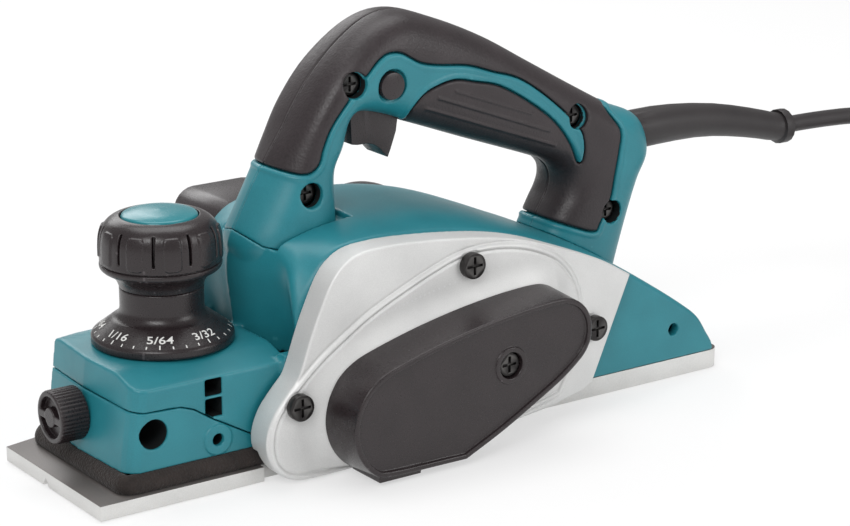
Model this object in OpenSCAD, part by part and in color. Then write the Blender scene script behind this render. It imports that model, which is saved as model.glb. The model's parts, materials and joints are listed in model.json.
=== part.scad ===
// Hand-held electric power planer with a D-shaped handle.
// Millimetres. Z is up and the sole is at z = 0, X runs to the rear,
// and the drive belt is on the -Y side. The origin lies on the rear sole.

/* [Sole] */
// Overall length of the two sole plates
base_l = 285; // [283:1:288]
// Planing width, which is also the blade length
plane_w = 82; // [81:1:82]
// Thickness of the front sole plate
front_t = 5.6; // [5.2:0.1:5.8]
// Thickness of the rear sole plate
rear_t = 5; // [4.5:0.5:5.5]
// Height of the rib round the rear sole plate
rear_rib_h = 7.6; // [7:0.1:7.6]
// Largest depth of cut, as the dial counts it
depth_max = 2.38; // [2:0.01:2.5]
// Depth of the V groove in the front sole
groove_d = 3.2; // [2:0.1:3.5]

/* [Cutter] */
// Place of the drum axis along X
drum_x = -32.5; // [-33:0.5:-32]
// Radius of the circle that the blade tips cut
cut_r = 23.9; // [23.5:0.1:23.9]
// Radius of the drum body
drum_r = 21.5; // [20:0.5:21.5]
// Thickness of each blade
blade_t = 1.2; // [1:0.1:2]

/* [Drive] */
// Place of the motor axis along X
motor_x = 33; // [32.5:0.5:33.5]
// Height of the motor axis
motor_z = 39.5; // [39:0.5:40]
// Outer radius of the stator
stator_r = 28; // [27:0.5:28]
// Radius of the armature core
armature_r = 15; // [14:0.5:15.5]
// Radius of the pulley on the drum shaft
drum_pulley_r = 11.6; // [11.2:0.1:11.8]
// Radius of the pulley on the motor shaft
motor_pulley_r = 8; // [7.8:0.1:8.2]
// Thickness of the drive belt
belt_t = 2.6; // [2:0.1:2.6]

/* [Depth knob] */
// Place of the knob axis along X
knob_x = -93; // [-93.5:0.5:-92.5]
// Largest radius of the knob
knob_r = 22.1; // [21:0.1:22.5]
// Radius of the dial's edge
dial_r = 26; // [25:0.5:26.5]
// Number of finger pads round the knob
knob_pads = 10; // [8:1:12]

/* [Covers] */
// Outer face of the belt cover, measured from the middle plane
cover_y = 70; // [69:0.5:71]
// Wall thickness of the belt cover
cover_wall = 2.5; // [2:0.1:2.5]
// Outer face of the side plate, measured from the middle plane
plate_y_out = 50; // [49.5:0.5:50]
// Mouth of the chip spout, measured from the middle plane
spout_y = 78; // [76:1:80]

/* [Handle] */
// Half of the handle's width across the seam
grip_w = 17; // [16.5:0.5:17.5]
// Thickness of the rubber skin over the handle
skin_t = 2.4; // [2:0.1:2.6]
// Wall of the handle shells, with the skin
shell_t = 5.4; // [5.2:0.1:5.6]
// Radius of the lock button
button_r = 5.2; // [5:0.1:5.4]

/* [Fence] */
// Radius of the hole that takes the fence rod
fence_r = 5.5; // [5:0.1:5.6]
// Radius of the clamp screw's head
clamp_r = 10; // [9:0.5:10.5]
// Number of ribs round the clamp knob
clamp_ribs = 36; // [24:1:40]

/* [Cord] */
// Diameter of the mains cord
cord_d = 7; // [6.8:0.1:7]
// Turns in each of the coil's four layers
coil_turns = 2.125; // [2.125:1:2.125]
// Step from one turn of the coil to the next
coil_step = 7.6; // [7.6:0.1:8]

/* [Hidden] */
$fn = 64;

// Colours of the finishes
teal = "#1f7f8c";
dark = "#3a3236";
silver = "#c9cacc";
metal = "#a8a49c";
steel = "#8d9196";
copper = "#b87333";
black = "#26221f";

// Places that several pieces share
half_w = plane_w / 2;
x_front = -base_l / 2;
x_rear = base_l / 2;
drum_z = cut_r + 0.1;
body_w = 38;
block_w = 36.5;
block_z = 12.3;
deck_z = 46;
deck_t = 3.7;
sill_z = 7.65;
lip_front = -52;
lip_rear = -14;
boss_r = 12;
post_x = -76;
post_y = 22;
post_r = 3.5;
fence_x = -118;
fence_z = 25.5;
foot_x = 121;
foot_z = 11;
shaft_r = 4;
drum_shaft_r = 5;
seat_gap = 0.05;
barrel_r = 31.5;
barrel_y = 58;
brush_y = 41;

// Points on an arc, from angle a0 to angle a1
function arc(c, r, a0, a1, n = 6) =
    [for (i = [0 : n]) let (a = a0 + (a1 - a0) * i / n) c + r * [cos(a), sin(a)]];

function flip(list) = [for (i = [len(list) - 1 : -1 : 0]) list[i]];

// Angle and half spread of the tangents that join two circles
function run_angle(a, b) = atan2(b[1] - a[1], b[0] - a[0]);
function run_spread(a, ra, b, rb) = acos((ra - rb) / norm(b - a));

// An outline in X and Z, drawn between two places along Y
module plate_y(y0, y1, pts) {
    translate([0, y1, 0]) rotate([90, 0, 0]) linear_extrude(y1 - y0) polygon(pts);
}

// An outline in Y and Z, drawn between two places along X
module plate_x(x0, x1, pts) {
    translate([x0, 0, 0]) rotate([90, 0, 90]) linear_extrude(x1 - x0) polygon(pts);
}

// A round bar along Y, or along X
module bar_y(x, z, y0, y1, r) {
    translate([x, y0, z]) rotate([-90, 0, 0]) cylinder(h = y1 - y0, r = r);
}

module bar_x(y, z, x0, x1, r) {
    translate([x0, y, z]) rotate([0, 90, 0]) cylinder(h = x1 - x0, r = r);
}

// A box between two corners
module block(a, b) {
    translate(a) cube(b - a);
}

// A closed skin over rings that have the same number of points
module skin(rings) {
    n = len(rings[0]);
    m = len(rings);
    points = [for (ring = rings) each ring];
    sides = [
        for (i = [0 : m - 2], j = [0 : n - 1])
            let (k = (j + 1) % n, p = i * n, q = p + n)
            each [[p + j, p + k, q + k], [p + j, q + k, q + j]]
    ];
    low = [for (j = [1 : n - 2]) [0, j + 1, j]];
    top = (m - 1) * n;
    high = [for (j = [1 : n - 2]) [top, top + j, top + j + 1]];
    polyhedron(points = points, faces = [for (f = concat(low, sides, high)) [f[2], f[1], f[0]]]);
}

// Rings of a round tube along a path; up is any direction that the path never takes
function tube_rings(path, radii, sides, up) = [
    for (i = [0 : len(path) - 1])
        let (
            a = path[max(i - 1, 0)],
            b = path[min(i + 1, len(path) - 1)],
            t = (b - a) / norm(b - a),
            u0 = cross(up, t),
            u = u0 / norm(u0),
            v = cross(t, u)
        )
        [for (j = [0 : sides - 1]) let (w = 360 * j / sides)
            path[i] + radii[i] * (cos(w) * u + sin(w) * v)]
];

// A wire spring that stands on z = 0
module wire_spring(r, wire_r, height, turns) {
    steps = turns * 8;
    path = [for (i = [0 : steps]) let (a = 45 * i)
        [r * cos(a), r * sin(a), wire_r + (height - 2 * wire_r) * i / steps]];
    skin(tube_rings(path, [for (p = path) wire_r], 6, [0, 0, 1]));
}

// Sole, stand and seal
rear_near = 37.8;
rib_w = 3.5;
corner_r = 6;
foot_w = 8;
base_screw_at = [[20, -30], [20, 30], [98, -30], [98, 30]];

module front_base() {
    color(metal) difference() {
        union() {
            linear_extrude(front_t) polygon([
                [x_front, -half_w], [-76, -half_w], [-76, -body_w], [lip_front, -body_w],
                [lip_front, half_w], [-95, half_w], [x_front, 31]]);
            translate([knob_x, 0, 0]) cylinder(h = 30, r = boss_r);
        }
        translate([knob_x, 0, front_t - 1]) cylinder(h = 40, r = 5 + seat_gap);
        plate_x(x_front - 1, lip_front + 1, [[-2.2, -0.1], [2.2, -0.1], [0, groove_d]]);
    }
}

module guide_pins() {
    color(steel) for (s = [-1, 1])
        translate([post_x, s * post_y, front_t]) cylinder(h = 30, r = post_r);
}

module rear_outline(inset) {
    r = corner_r - inset;
    polygon(concat(
        [[lip_rear + inset, -rear_near + inset]],
        arc([x_rear - corner_r, -rear_near + corner_r], r, -90, 0),
        arc([x_rear - corner_r, half_w - corner_r], r, 0, 90),
        [[lip_rear + inset, half_w - inset]]));
}

module rear_base() {
    color(metal) difference() {
        union() {
            linear_extrude(rear_t) rear_outline(0);
            linear_extrude(rear_rib_h) difference() {
                rear_outline(0);
                rear_outline(rib_w);
            }
        }
        block([foot_x - 7, -foot_w - 0.6, -1], [x_rear + 1, foot_w + 0.6, 20]);
        for (p = base_screw_at) translate([p[0], p[1], -1]) {
            cylinder(h = 20, r = 2.2);
            cylinder(h = 3.7, r = 4.3);
        }
    }
}

module base_screws() {
    color(steel) for (p = base_screw_at) translate([p[0], p[1], 0]) {
        translate([0, 0, 0.6]) cylinder(h = 2.1, r = 4);
        translate([0, 0, 2]) cylinder(h = 10.5, r = 2);
    }
}

module foot() {
    color(dark) difference() {
        plate_y(-foot_w, foot_w, [[118, 14], [124, 14], [126.5, 6], [140, 4.6], [140.5, 1.2],
            [137, 0.5], [122, 2.6], [117, 8]]);
        bar_y(foot_x, foot_z, -20, 20, 1.5 + seat_gap);
    }
}

module foot_pin() {
    color(steel) bar_y(foot_x, foot_z, -12, 19, 1.5);
}

module foot_spring() {
    color(steel) translate([foot_x, 13, foot_z]) rotate([-90, 0, 0]) wire_spring(2.6, 0.5, 5, 3);
}

module dust_seal() {
    color(black) translate([0, 0, front_t]) linear_extrude(block_z - front_t) difference() {
        polygon([[-132, -38.5], [-60, -38.5], [-60, 38.5], [-97, 38.5], [-132, 30]]);
        polygon([[-128, -34.5], [-64, -34.5], [-64, 34.5], [-97.5, 34.5], [-128, 27]]);
    }
}

// Casings
lower_edge = [[-140, 0], [-140, 35], [-128, 35], [-122.6, 34], [-107, 33.3], [-101.5, 31.3],
    [-94.4, 26.5], [-77, 16.6], [-69.5, 12.3], [-69.5, 0]];
duct_x = [-43, -3];
duct_z = [37, 77];
duct_r = 9;
duct_end = 46;
duct_wall = 2.6;
cheek_end = 53;
cheek_r = 16;
side_screw_at = [[-67, 29.5], [8.2, 69], [70.2, 31.9]];
cover_screw_at = [13.1, 34.3];

// Side height and top height of the body at places along X
body_sections = [
    [-66, 44, 46.5], [-62.5, 52, 80], [-60, 56, 82.5], [-53, 70, 85], [-47, 78, 88], [-39, 81.6, 90],
    [-26, 82, 91], [-10, 81, 89.5], [5, 79.4, 87], [20, 77, 82.5], [33, 74.5, 78.5], [48, 69, 72],
    [61, 63.3, 66], [76, 57.5, 59.5], [92, 48.5, 50.5], [108, 38.5, 40.5], [122, 29, 31],
    [130, 22.5, 25], [135, 15, 19], [138, 10.5, 12.5]];

function body_ring(s) = let (x = s[0], z = s[1], h = s[2] - s[1]) [
    [x, -body_w, sill_z], [x, -body_w, z], [x, -33, z + 0.45 * h], [x, -24, z + 0.8 * h],
    [x, -12, z + 0.96 * h], [x, 0, z + h], [x, 12, z + 0.96 * h], [x, 24, z + 0.8 * h],
    [x, 33, z + 0.45 * h], [x, body_w, z], [x, body_w, sill_z]];

module body_form() {
    skin([for (s = body_sections) flip(body_ring(s))]);
}

module block_form() {
    intersection() {
        translate([0, 0, block_z]) linear_extrude(deck_z) polygon(concat(
            [[-128.5, -2]], arc([-123.6, -block_w + 3.5], 3.5, 180, 270),
            [[-62, -block_w], [-62, block_w], [-96, block_w], [-112, 33], [-126, 26]]));
        plate_x(-140, -50, [[-40, 0], [-40, 41], [-block_w, 42], [-22, deck_z], [22, deck_z],
            [block_w, 42], [40, 41], [40, 0]]);
    }
}

function duct_outline(inset) = let (r = duct_r - inset / 2) concat(
    arc([duct_x[1] - inset - r, duct_z[1] - inset - r], r, 0, 90),
    arc([duct_x[0] + inset + r, duct_z[1] - inset - r], r, 90, 180),
    arc([duct_x[0] + inset + r, duct_z[0] + inset + r], r, 180, 270),
    arc([duct_x[1] - inset - r, duct_z[0] + inset + r], r, 270, 360));

module front_lower_housing() {
    color(teal) difference() {
        union() {
            intersection() {
                block_form();
                plate_y(-60, 60, lower_edge);
            }
            bar_y(-92.5, 18.4, -block_w - 0.8, -30, 5.5);
        }
        translate([knob_x, 0, 0]) cylinder(h = 60, r = 17.5);
        bar_y(fence_x, fence_z, -60, 60, fence_r);
        bar_x(0, fence_z, -140, fence_x, 3 + seat_gap);
        bar_y(-92.5, 18.4, -60, -25, 2.25);
        for (s = [-1, 1]) translate([post_x, s * post_y, 0]) cylinder(h = 40, r = post_r + 0.6);
    }
}

// Closes the far end of the cutter chamber and holds the far drum bearing
module far_cheek() {
    difference() {
        union() {
            bar_y(drum_x, drum_z, 37, duct_end, 29.5);
            bar_y(drum_x, drum_z, duct_end - 1, cheek_end, cheek_r);
        }
        block([-70, 30, -10], [0, 41.5, 12.6]);
        block([-70, 30, -10], [0, 60, 1]);
    }
}

module housing_hollows() {
    bar_y(drum_x, drum_z, -60, 41.6, 26.5);
    block([-59, -60, -1], [lip_rear + 2, 41.6, 20]);
    block([-70, -60, 0], [-57, 41.4, block_z]);
    bar_y(drum_x, drum_z, 41, 51, 13);
    plate_y(-28, duct_end + 10, concat([[duct_x[0] + 3, 41], [duct_x[1] - 3, 41]],
        [[duct_x[1] - 3, 74], [duct_x[0] + 3, 74]]));
    bar_y(motor_x, motor_z, -60, barrel_y + 1, stator_r + 0.2);
    bar_x(brush_y, motor_z, 0, 66, 5.6);
    plate_y(-33, 33, [[76, 0], [76, 52], [90, 44], [106, 34], [120, 25], [128, 17], [132, 9], [132, 0]]);
    translate([knob_x, 0, 0]) cylinder(h = deck_z - deck_t, r = 17.5);
    translate([knob_x, 0, 0]) cylinder(h = 60, r = 6 + seat_gap);
    for (s = [-1, 1]) translate([post_x, s * post_y, 0]) cylinder(h = 41, r = post_r + seat_gap);
    for (z = [[27, 34], [35, 41.3]]) block([-97, -40, z[0]], [-90, -16, z[1]]);
    for (p = side_screw_at) bar_y(p[0], p[1], -50, -26, 2.25);
    bar_y(117, 20, -50, -30, 2.5);
}

module main_housing() {
    color(teal) difference() {
        union() {
            difference() {
                union() {
                    difference() {
                        block_form();
                        plate_y(-60, 60, lower_edge);
                    }
                    body_form();
                    bar_y(motor_x, motor_z, 37, barrel_y, barrel_r);
                    plate_y(37, duct_end, duct_outline(0));
                    far_cheek();
                }
                housing_hollows();
            }
            for (p = base_screw_at) translate([p[0], p[1], sill_z]) cylinder(h = 6, r = 5);
            for (s = [-1, 1])
                block([116, s > 0 ? 8.4 : -12.4, sill_z], [126, s > 0 ? 12.4 : -8.4, 30]);
        }
        for (p = base_screw_at) translate([p[0], p[1], 0]) cylinder(h = 13, r = 2 + seat_gap);
        bar_y(foot_x, foot_z, -13, 13, 1.5 + seat_gap);
    }
}

module motor_end_cover() {
    color(dark) difference() {
        union() {
            difference() {
                translate([motor_x, barrel_y, motor_z]) rotate([-90, 0, 0]) rotate_extrude()
                    polygon(concat([[0, 0], [barrel_r, 0]], arc([barrel_r - 8, 6], 8, 0, 90), [[0, 14]]));
                bar_y(motor_x, motor_z, barrel_y - 1, barrel_y + 10, 27);
            }
            bar_y(motor_x, motor_z, barrel_y + 0.2, barrel_y + 11, 14);
        }
        bar_y(motor_x, motor_z, barrel_y - 1, barrel_y + 8, 11);
        for (i = [0 : 11]) translate([motor_x, 0, motor_z]) rotate([0, 30 * i, 0])
            block([16.5, barrel_y + 9, -1.4], [25, barrel_y + 20, 1.4]);
    }
}

module chip_spout() {
    color(dark) difference() {
        plate_y(duct_end + seat_gap, spout_y, duct_outline(0));
        plate_y(duct_end - 1, spout_y + 1, duct_outline(duct_wall));
        bar_y(drum_x, drum_z, duct_end, cheek_end + seat_gap, cheek_r + seat_gap);
    }
}

// Side plate and belt cover
plate_outline = concat(
    arc([-64.5, 16.2], 15.4, 270, 140, 14),
    [[-73.2, 31.5], [-70, 35], [-66.6, 38.4], [-64.8, 42.6], [-62.6, 48.6], [-60.8, 53.4],
     [-57.8, 60.5], [-52.2, 71.8], [-46.7, 77.8], [-39.1, 81.4], [-26.5, 82],
     [-13.7, 81.3], [3.8, 79.5], [21.5, 76.7], [38.4, 72.6], [61, 63.3], [76, 57.5], [92, 48.1],
     [70.4, 9.4], [65.1, 7.7], [54.6, 6.6], [20, 2.5], [-8, 0.6]]);
plate_in = -body_w - 0.05;
cover_a = [-35, 23.5];
cover_top = [3, 33.4];
cover_b = [35.8, 41.7];
cover_r = [20.8, 20, 14.2];
cover_toe = [-7.3, 2.6];
cover_fall = 28.1;

module side_plate() {
    color(silver) difference() {
        union() {
            plate_y(-plate_y_out, plate_in, plate_outline);
            bar_y(cover_screw_at[0], cover_screw_at[1], -62, -plate_y_out + 1, 5);
        }
        linear_extrude(100) polygon([[48, -plate_y_out], [94, -40.5], [110, -40.5], [110, -60], [48, -60]]);
        block([-90, -41.3, -1], [-59, -30, block_z]);
        bar_y(drum_x, drum_z, -41.8, -30, 25.5);
        bar_y(drum_x, drum_z, -60, -40, 13);
        bar_y(motor_x, motor_z, -60, -40, 11);
        bar_y(motor_x, motor_z, -41.2, -30, 27);
        for (p = side_screw_at) bar_y(p[0], p[1], -60, -30, 2.3);
        bar_y(side_screw_at[2][0], side_screw_at[2][1], -60, -45, 5.5);
        bar_y(cover_screw_at[0], cover_screw_at[1], -70, -45, 2.05);
    }
}

// A pan head screw along Y with a cross slot, its head towards -Y
module pan_screw(p, y, r, length) {
    difference() {
        union() {
            bar_y(p[0], p[1], y - 3, y, r);
            bar_y(p[0], p[1], y - 0.5, y + length, 0.45 * r);
        }
        block([p[0] - 0.7 * r, y - 4, p[1] - 0.5], [p[0] + 0.7 * r, y - 1.6, p[1] + 0.5]);
        block([p[0] - 0.5, y - 4, p[1] - 0.7 * r], [p[0] + 0.5, y - 1.6, p[1] + 0.7 * r]);
    }
}

module side_plate_screws() {
    color(black) {
        for (i = [0, 1]) pan_screw(side_screw_at[i], -plate_y_out, 4.9, 22);
        pan_screw(side_screw_at[2], -45, 4.9, 17);
    }
}

// Two circles joined by their outer tangents, as points
function loop_points(a, ra, b, rb) = let (w = run_angle(a, b), s = run_spread(a, ra, b, rb)) concat(
    arc(a, ra, w + s, w + 360 - s, 30),
    arc(b, rb, w - s, w + s, 20));

// Outline of the belt cover, moved inwards by inset
function cover_points(inset) = let (
    up = run_angle(cover_a, cover_top) + run_spread(cover_a, cover_r[0], cover_top, cover_r[1]),
    over = run_angle(cover_top, cover_b) + run_spread(cover_top, cover_r[1], cover_b, cover_r[2])) concat(
    arc(cover_a, cover_r[0] - inset, 225, up, 18),
    arc(cover_top, cover_r[1] - inset, up, over, 3),
    arc(cover_b, cover_r[2] - inset, over, cover_fall - 90, 22),
    [cover_toe + inset * [-0.25, 1], [-35, 2.7 + inset], [-45.5, 3.8] + inset * [0.5, 0.9]]);

module cover_shape(inset) {
    polygon(cover_points(inset));
}

module in_y(y0, y1) {
    translate([0, y1, 0]) rotate([90, 0, 0]) linear_extrude(y1 - y0) children();
}

module belt_cover() {
    color(dark) difference() {
        union() {
            difference() {
                in_y(-cover_y, -plate_y_out - 0.05) cover_shape(0);
                in_y(-cover_y - 1, -cover_y + 1.2) cover_shape(3);
                in_y(-cover_y + 1.2 + cover_wall, -plate_y_out + 1) cover_shape(cover_wall);
            }
            bar_y(cover_screw_at[0], cover_screw_at[1], -cover_y + 0.4, -62.2, 7);
            block([-45, -cover_y + 1, 1.2], [-27, -plate_y_out - 1, 5]);
        }
        bar_y(cover_screw_at[0], cover_screw_at[1], -80, -65, 5);
        bar_y(cover_screw_at[0], cover_screw_at[1], -80, -60, 2.3);
    }
}

module belt_cover_screw() {
    color(black) pan_screw(cover_screw_at, -65, 4.4, 14);
}

// Depth knob
module turned(pts) {
    translate([knob_x, 0, 0]) rotate_extrude() polygon(pts);
}

module depth_screw() {
    color(steel) turned([[0, 10], [5, 10], [5, 40], [6, 40], [6, 50], [4, 50], [4, 88], [0, 88]]);
}

module retaining_ring() {
    color(steel) turned([[5.02, 40.2 - 1.6], [9, 40.2 - 1.6], [9, 39.9], [5.02, 39.9]]);
}

module depth_spring() {
    color(steel) translate([knob_x, 0, front_t]) wire_spring(14.5, 0.9, 36.5, 6);
}

module dial_ring() {
    color(dark) turned(concat(
        [[6.1, 46.3], [dial_r - 0.5, 46.3], [dial_r, 47.2], [dial_r, 49.2], [dial_r - 0.6, 49.9]],
        arc([19.8, 59.5], 4.5, 250, 180, 6), [[15.3, 63], [4.1, 63], [4.1, 51], [6.1, 51]]));
}

module knob_grip() {
    color(dark) difference() {
        turned([[4.1, 63.1], [15.3, 63.1], [15.3, 65.6], [16.6, 68.4], [19, 70.6], [21.4, 72],
            [knob_r, 73], [knob_r, 74.4], [21.7, 75], [21.7, 84.6], [20.7, 87.8], [18.4, 90.6],
            [16, 91.8], [14.2, 92], [14.2, 88.2], [4.1, 88.2]]);
        for (i = [0 : knob_pads - 1]) translate([knob_x, 0, 0]) rotate(360 * (i + 0.5) / knob_pads)
            translate([knob_r + 2.2, 0, 76]) cylinder(h = 20, r = 3.4);
    }
}

module knob_cap() {
    color(teal) turned(concat([[0, 88.3], [14, 88.3]], arc([13, 91.6], 1, 0, 70, 4), [[7, 93.7], [0, 94.2]]));
}

module clamp_screw() {
    color(dark) difference() {
        union() {
            bar_x(0, fence_z, -140, -128.9, clamp_r);
            bar_x(0, fence_z, -129, -123.8, 3);
        }
        for (i = [1 : clamp_ribs]) translate([0, 0, fence_z]) rotate([360 * i / clamp_ribs, 0, 0])
            translate([0, 0, -fence_z]) bar_x(0, fence_z + clamp_r + 0.2, -139, -120, 0.6);
        for (s = [-1, 1]) plate_x(-141, -138.6, [for (p = concat(
            arc([0, 0], 7.5, 35, 145), arc([0, 0], 2.2, 145, 35))) [p[0], fence_z + s * p[1]]]);
    }
}

// Cutter
blade_turn = 40;
blade_in = 13;
blade_out = sqrt(cut_r * cut_r - blade_t * blade_t);
clamp_out = 20;
clamp_t = 6;
bolt_y = [-28, 0, 28];

// Places children at both blade slots, with local X pointing outwards
module at_blades() {
    for (a = [0, 180]) translate([drum_x, 0, drum_z]) rotate([0, blade_turn + a, 0]) children();
}

module drum() {
    color(metal) difference() {
        bar_y(drum_x, drum_z, -half_w, half_w, drum_r);
        bar_y(drum_x, drum_z, -50, 50, drum_shaft_r);
        at_blades() {
            block([blade_in, -50, -blade_t], [30, 50, clamp_t]);
            for (y = bolt_y) bar_x(y, 3, 8, 20, 2);
        }
    }
}

module drum_shaft() {
    color(steel) bar_y(drum_x, drum_z, -65, 50, drum_shaft_r);
}

module blades() {
    color(silver) at_blades() block([blade_in, -half_w, -blade_t], [blade_out, half_w, 0]);
}

module blade_clamps() {
    color(steel) at_blades() difference() {
        block([blade_in, -half_w + 1, 0], [clamp_out, half_w - 1, clamp_t]);
        for (y = bolt_y) {
            bar_x(y, 3, 5, 30, 2);
            bar_x(y, 3, 17, 30, 2.8);
        }
    }
}

module blade_bolts() {
    color(black) at_blades() for (y = bolt_y) {
        bar_x(y, 3, 8, 18, 2);
        bar_x(y, 3, 17, 19.5, 2.7);
    }
}

module ring_y(x, z, y0, y1, r_out, r_in) {
    difference() {
        bar_y(x, z, y0, y1, r_out);
        bar_y(x, z, y0 - 1, y1 + 1, r_in);
    }
}

module drum_bearings() {
    color(steel) {
        ring_y(drum_x, drum_z, -50, -42, 13, drum_shaft_r + seat_gap);
        ring_y(drum_x, drum_z, 42.2, 50.2, 13, drum_shaft_r + seat_gap);
    }
}

module drum_pulley() {
    color(steel) ring_y(drum_x, drum_z, -64, -53, drum_pulley_r, drum_shaft_r);
}

module drive_belt() {
    a = [drum_x, drum_z];
    b = [motor_x, motor_z];
    color(black) in_y(-63, -54) difference() {
        polygon(loop_points(a, drum_pulley_r + 0.1 + belt_t, b, motor_pulley_r + 0.1 + belt_t));
        polygon(loop_points(a, drum_pulley_r + 0.1, b, motor_pulley_r + 0.1));
    }
}

// Motor
core_y = [-12, 24];

module motor_pulley() {
    color(steel) ring_y(motor_x, motor_z, -64, -53, motor_pulley_r, shaft_r);
}

module motor_shaft() {
    color(steel) bar_y(motor_x, motor_z, -65, 65, shaft_r);
}

module armature_core() {
    color(metal) difference() {
        ring_y(motor_x, motor_z, core_y[0], core_y[1], armature_r, shaft_r);
        for (i = [0 : 11]) translate([motor_x, 0, motor_z]) rotate([0, 30 * i, 0])
            block([armature_r - 4, -50, -1.2], [armature_r + 1, 50, 1.2]);
    }
}

module armature_windings() {
    color(copper) {
        ring_y(motor_x, motor_z, core_y[0] - 8, core_y[0], armature_r - 2, shaft_r + 2);
        ring_y(motor_x, motor_z, core_y[1], core_y[1] + 8, armature_r - 2, shaft_r + 2);
    }
}

module commutator() {
    color(copper) ring_y(motor_x, motor_z, brush_y - 6, brush_y + 6, 11, shaft_r);
}

module fan() {
    color(dark) {
        ring_y(motor_x, motor_z, -30, -28, 25, shaft_r);
        ring_y(motor_x, motor_z, -37, -28, 8, shaft_r);
        for (i = [0 : 13]) translate([motor_x, 0, motor_z]) rotate([0, 360 * i / 14, 0])
            block([7.5, -37, -0.8], [25, -29, 0.8]);
    }
}

module motor_bearings() {
    color(steel) {
        ring_y(motor_x, motor_z, -49, -42, 11, shaft_r + seat_gap);
        ring_y(motor_x, motor_z, barrel_y + 0.4, barrel_y + 7.4, 11, shaft_r + seat_gap);
    }
}

module stator() {
    color(metal) difference() {
        ring_y(motor_x, motor_z, core_y[0], core_y[1], stator_r, armature_r + 0.8);
        for (s = [-1, 1]) translate([motor_x, 0, motor_z])
            block([s * 22 - 3.5, -50, -11], [s * 22 + 3.5, 50, 11]);
    }
}

module field_coils() {
    color(copper) difference() {
        for (y = [core_y[0] - 8, core_y[1]]) ring_y(motor_x, motor_z, y, y + 8, stator_r - 2, armature_r + 3);
        block([motor_x - 40, -60, motor_z - 4], [motor_x + 40, 60, motor_z + 4]);
    }
}

// Mirrors a brush part to both sides of the commutator
module at_brushes() {
    for (a = [0, 180]) translate([motor_x, brush_y, motor_z]) rotate([0, a, 0]) children();
}

module brush_holders() {
    color(metal) at_brushes() difference() {
        bar_x(0, 0, 12.5, 29.8, 5.5);
        block([5, -3.3, -2.6], [40, 3.3, 2.6]);
    }
}

module carbon_brushes() {
    color(black) at_brushes() block([11.4, -3.2, -2.5], [24, 3.2, 2.5]);
}

module brush_caps() {
    color(black) at_brushes() difference() {
        bar_x(0, 0, 30, 33, 5.5);
        block([32, -4, -0.6], [40, 4, 0.6]);
    }
}

// Handle
// Outer point, inner point and half width of each section along the D
handle_sections = [
    [[-60.5, 70], [-22, 72], 18.5], [[-61.5, 78], [-23, 80], 18.5], [[-56.5, 88], [-24, 90], 18],
    [[-50, 100], [-24, 102], grip_w], [[-44, 112], [-20.5, 110], grip_w], [[-36, 126], [-18, 119], grip_w],
    [[-24, 141], [-13, 121], grip_w], [[-8, 153], [-3, 118.5], grip_w], [[7, 156.3], [6.1, 115.3], grip_w],
    [[25, 151], [19.2, 110.3], grip_w], [[46, 141.8], [37.5, 103.1], grip_w], [[66, 130.5], [55.3, 96.7], grip_w],
    [[88, 118], [68.9, 91.7], grip_w], [[107, 107.6], [77.3, 88.4], grip_w], [[121, 101], [81.4, 83.6], grip_w],
    [[126, 88], [82.3, 79.1], grip_w], [[121, 77], [81.3, 73.9], grip_w], [[117, 66], [77.5, 68.6], grip_w],
    [[112, 50], [71, 56.9], grip_w], [[108, 36], [65.8, 43.9], grip_w]];
handle_fullness = 0.72;
handle_steps = 12;

// Edge of the rubber skin in side view, closed outside the handle
grip_edge = [
    [-70, 112], [-57, 107.5], [-51, 105], [-44, 103], [-39, 103], [-35, 106], [-33, 112], [-28, 121],
    [-14, 136], [-7, 142], [-2, 143], [2, 142], [9, 138], [17, 136], [31, 134], [43, 130], [55, 126],
    [66, 119], [78, 109], [86, 100], [87, 88], [81, 97], [72.6, 107.4], [60, 117], [46, 125], [35, 128],
    [26, 130], [18, 129], [11.3, 126.3], [7, 120], [8, 113], [8, 108], [56, 90], [60, 84], [50, 74], [58, 72],
    [81, 63], [93, 59], [96, 62], [101, 71], [103, 80], [105, 90], [106, 99], [101, 108], [106, 118],
    [10, 175], [-60, 140]];
handle_screw_at = [[-19, 133], [-39, 95], [84, 107], [102, 66]];
button_at = [-3, 131];
trigger_pivot = [-11.5, 125];
trigger_lug = 3.6;
guard_z = 93;

function bulge(v) = sign(v) * pow(abs(v), handle_fullness);

// One section of a handle half, drawn in by d, on the side that s gives
function handle_ring(section, s, d) = let (
        m = (section[0] + section[1]) / 2,
        h = (section[0] - section[1]) / 2,
        k = 1 - d / norm(h),
        w = section[2] - d,
        pts = [for (j = [0 : handle_steps]) let (a = 180 * j / handle_steps)
            let (p = m + k * h * bulge(cos(a))) [p[0], s * w * bulge(max(sin(a), 0)), p[1]]]
    ) s > 0 ? flip(pts) : pts;

module handle_form(s, d) {
    skin([for (section = handle_sections) handle_ring(section, s, d)]);
}

module grip_region() {
    plate_y(-30, 30, grip_edge);
}

module grip(s) {
    color(dark) difference() {
        intersection() {
            difference() {
                handle_form(s, 0);
                handle_form(s, skin_t);
            }
            grip_region();
        }
        body_form();
        handle_holes();
    }
}

module handle_holes() {
    for (p = handle_screw_at) {
        bar_y(p[0], p[1], -40, -9, 4.6);
        bar_y(p[0], p[1], -20, 9, 1.85);
    }
    bar_y(button_at[0], button_at[1], -40, -14.6, button_r + 1.05);
    bar_y(button_at[0], button_at[1], -40, -4, button_r + seat_gap);
    bar_y(button_at[0], button_at[1], -12.6, -4, button_r + 2.2);
    block([-18, -7.4, 95], [8.6, 7.4, 129.2]);
    bar_y(trigger_pivot[0], trigger_pivot[1], -11, 11, 1.5 + seat_gap);
    bar_x(0, guard_z, 107.5, 140, 7.95);
    bar_x(0, guard_z, 111.9, 115.1, 10.05);
}

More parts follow.
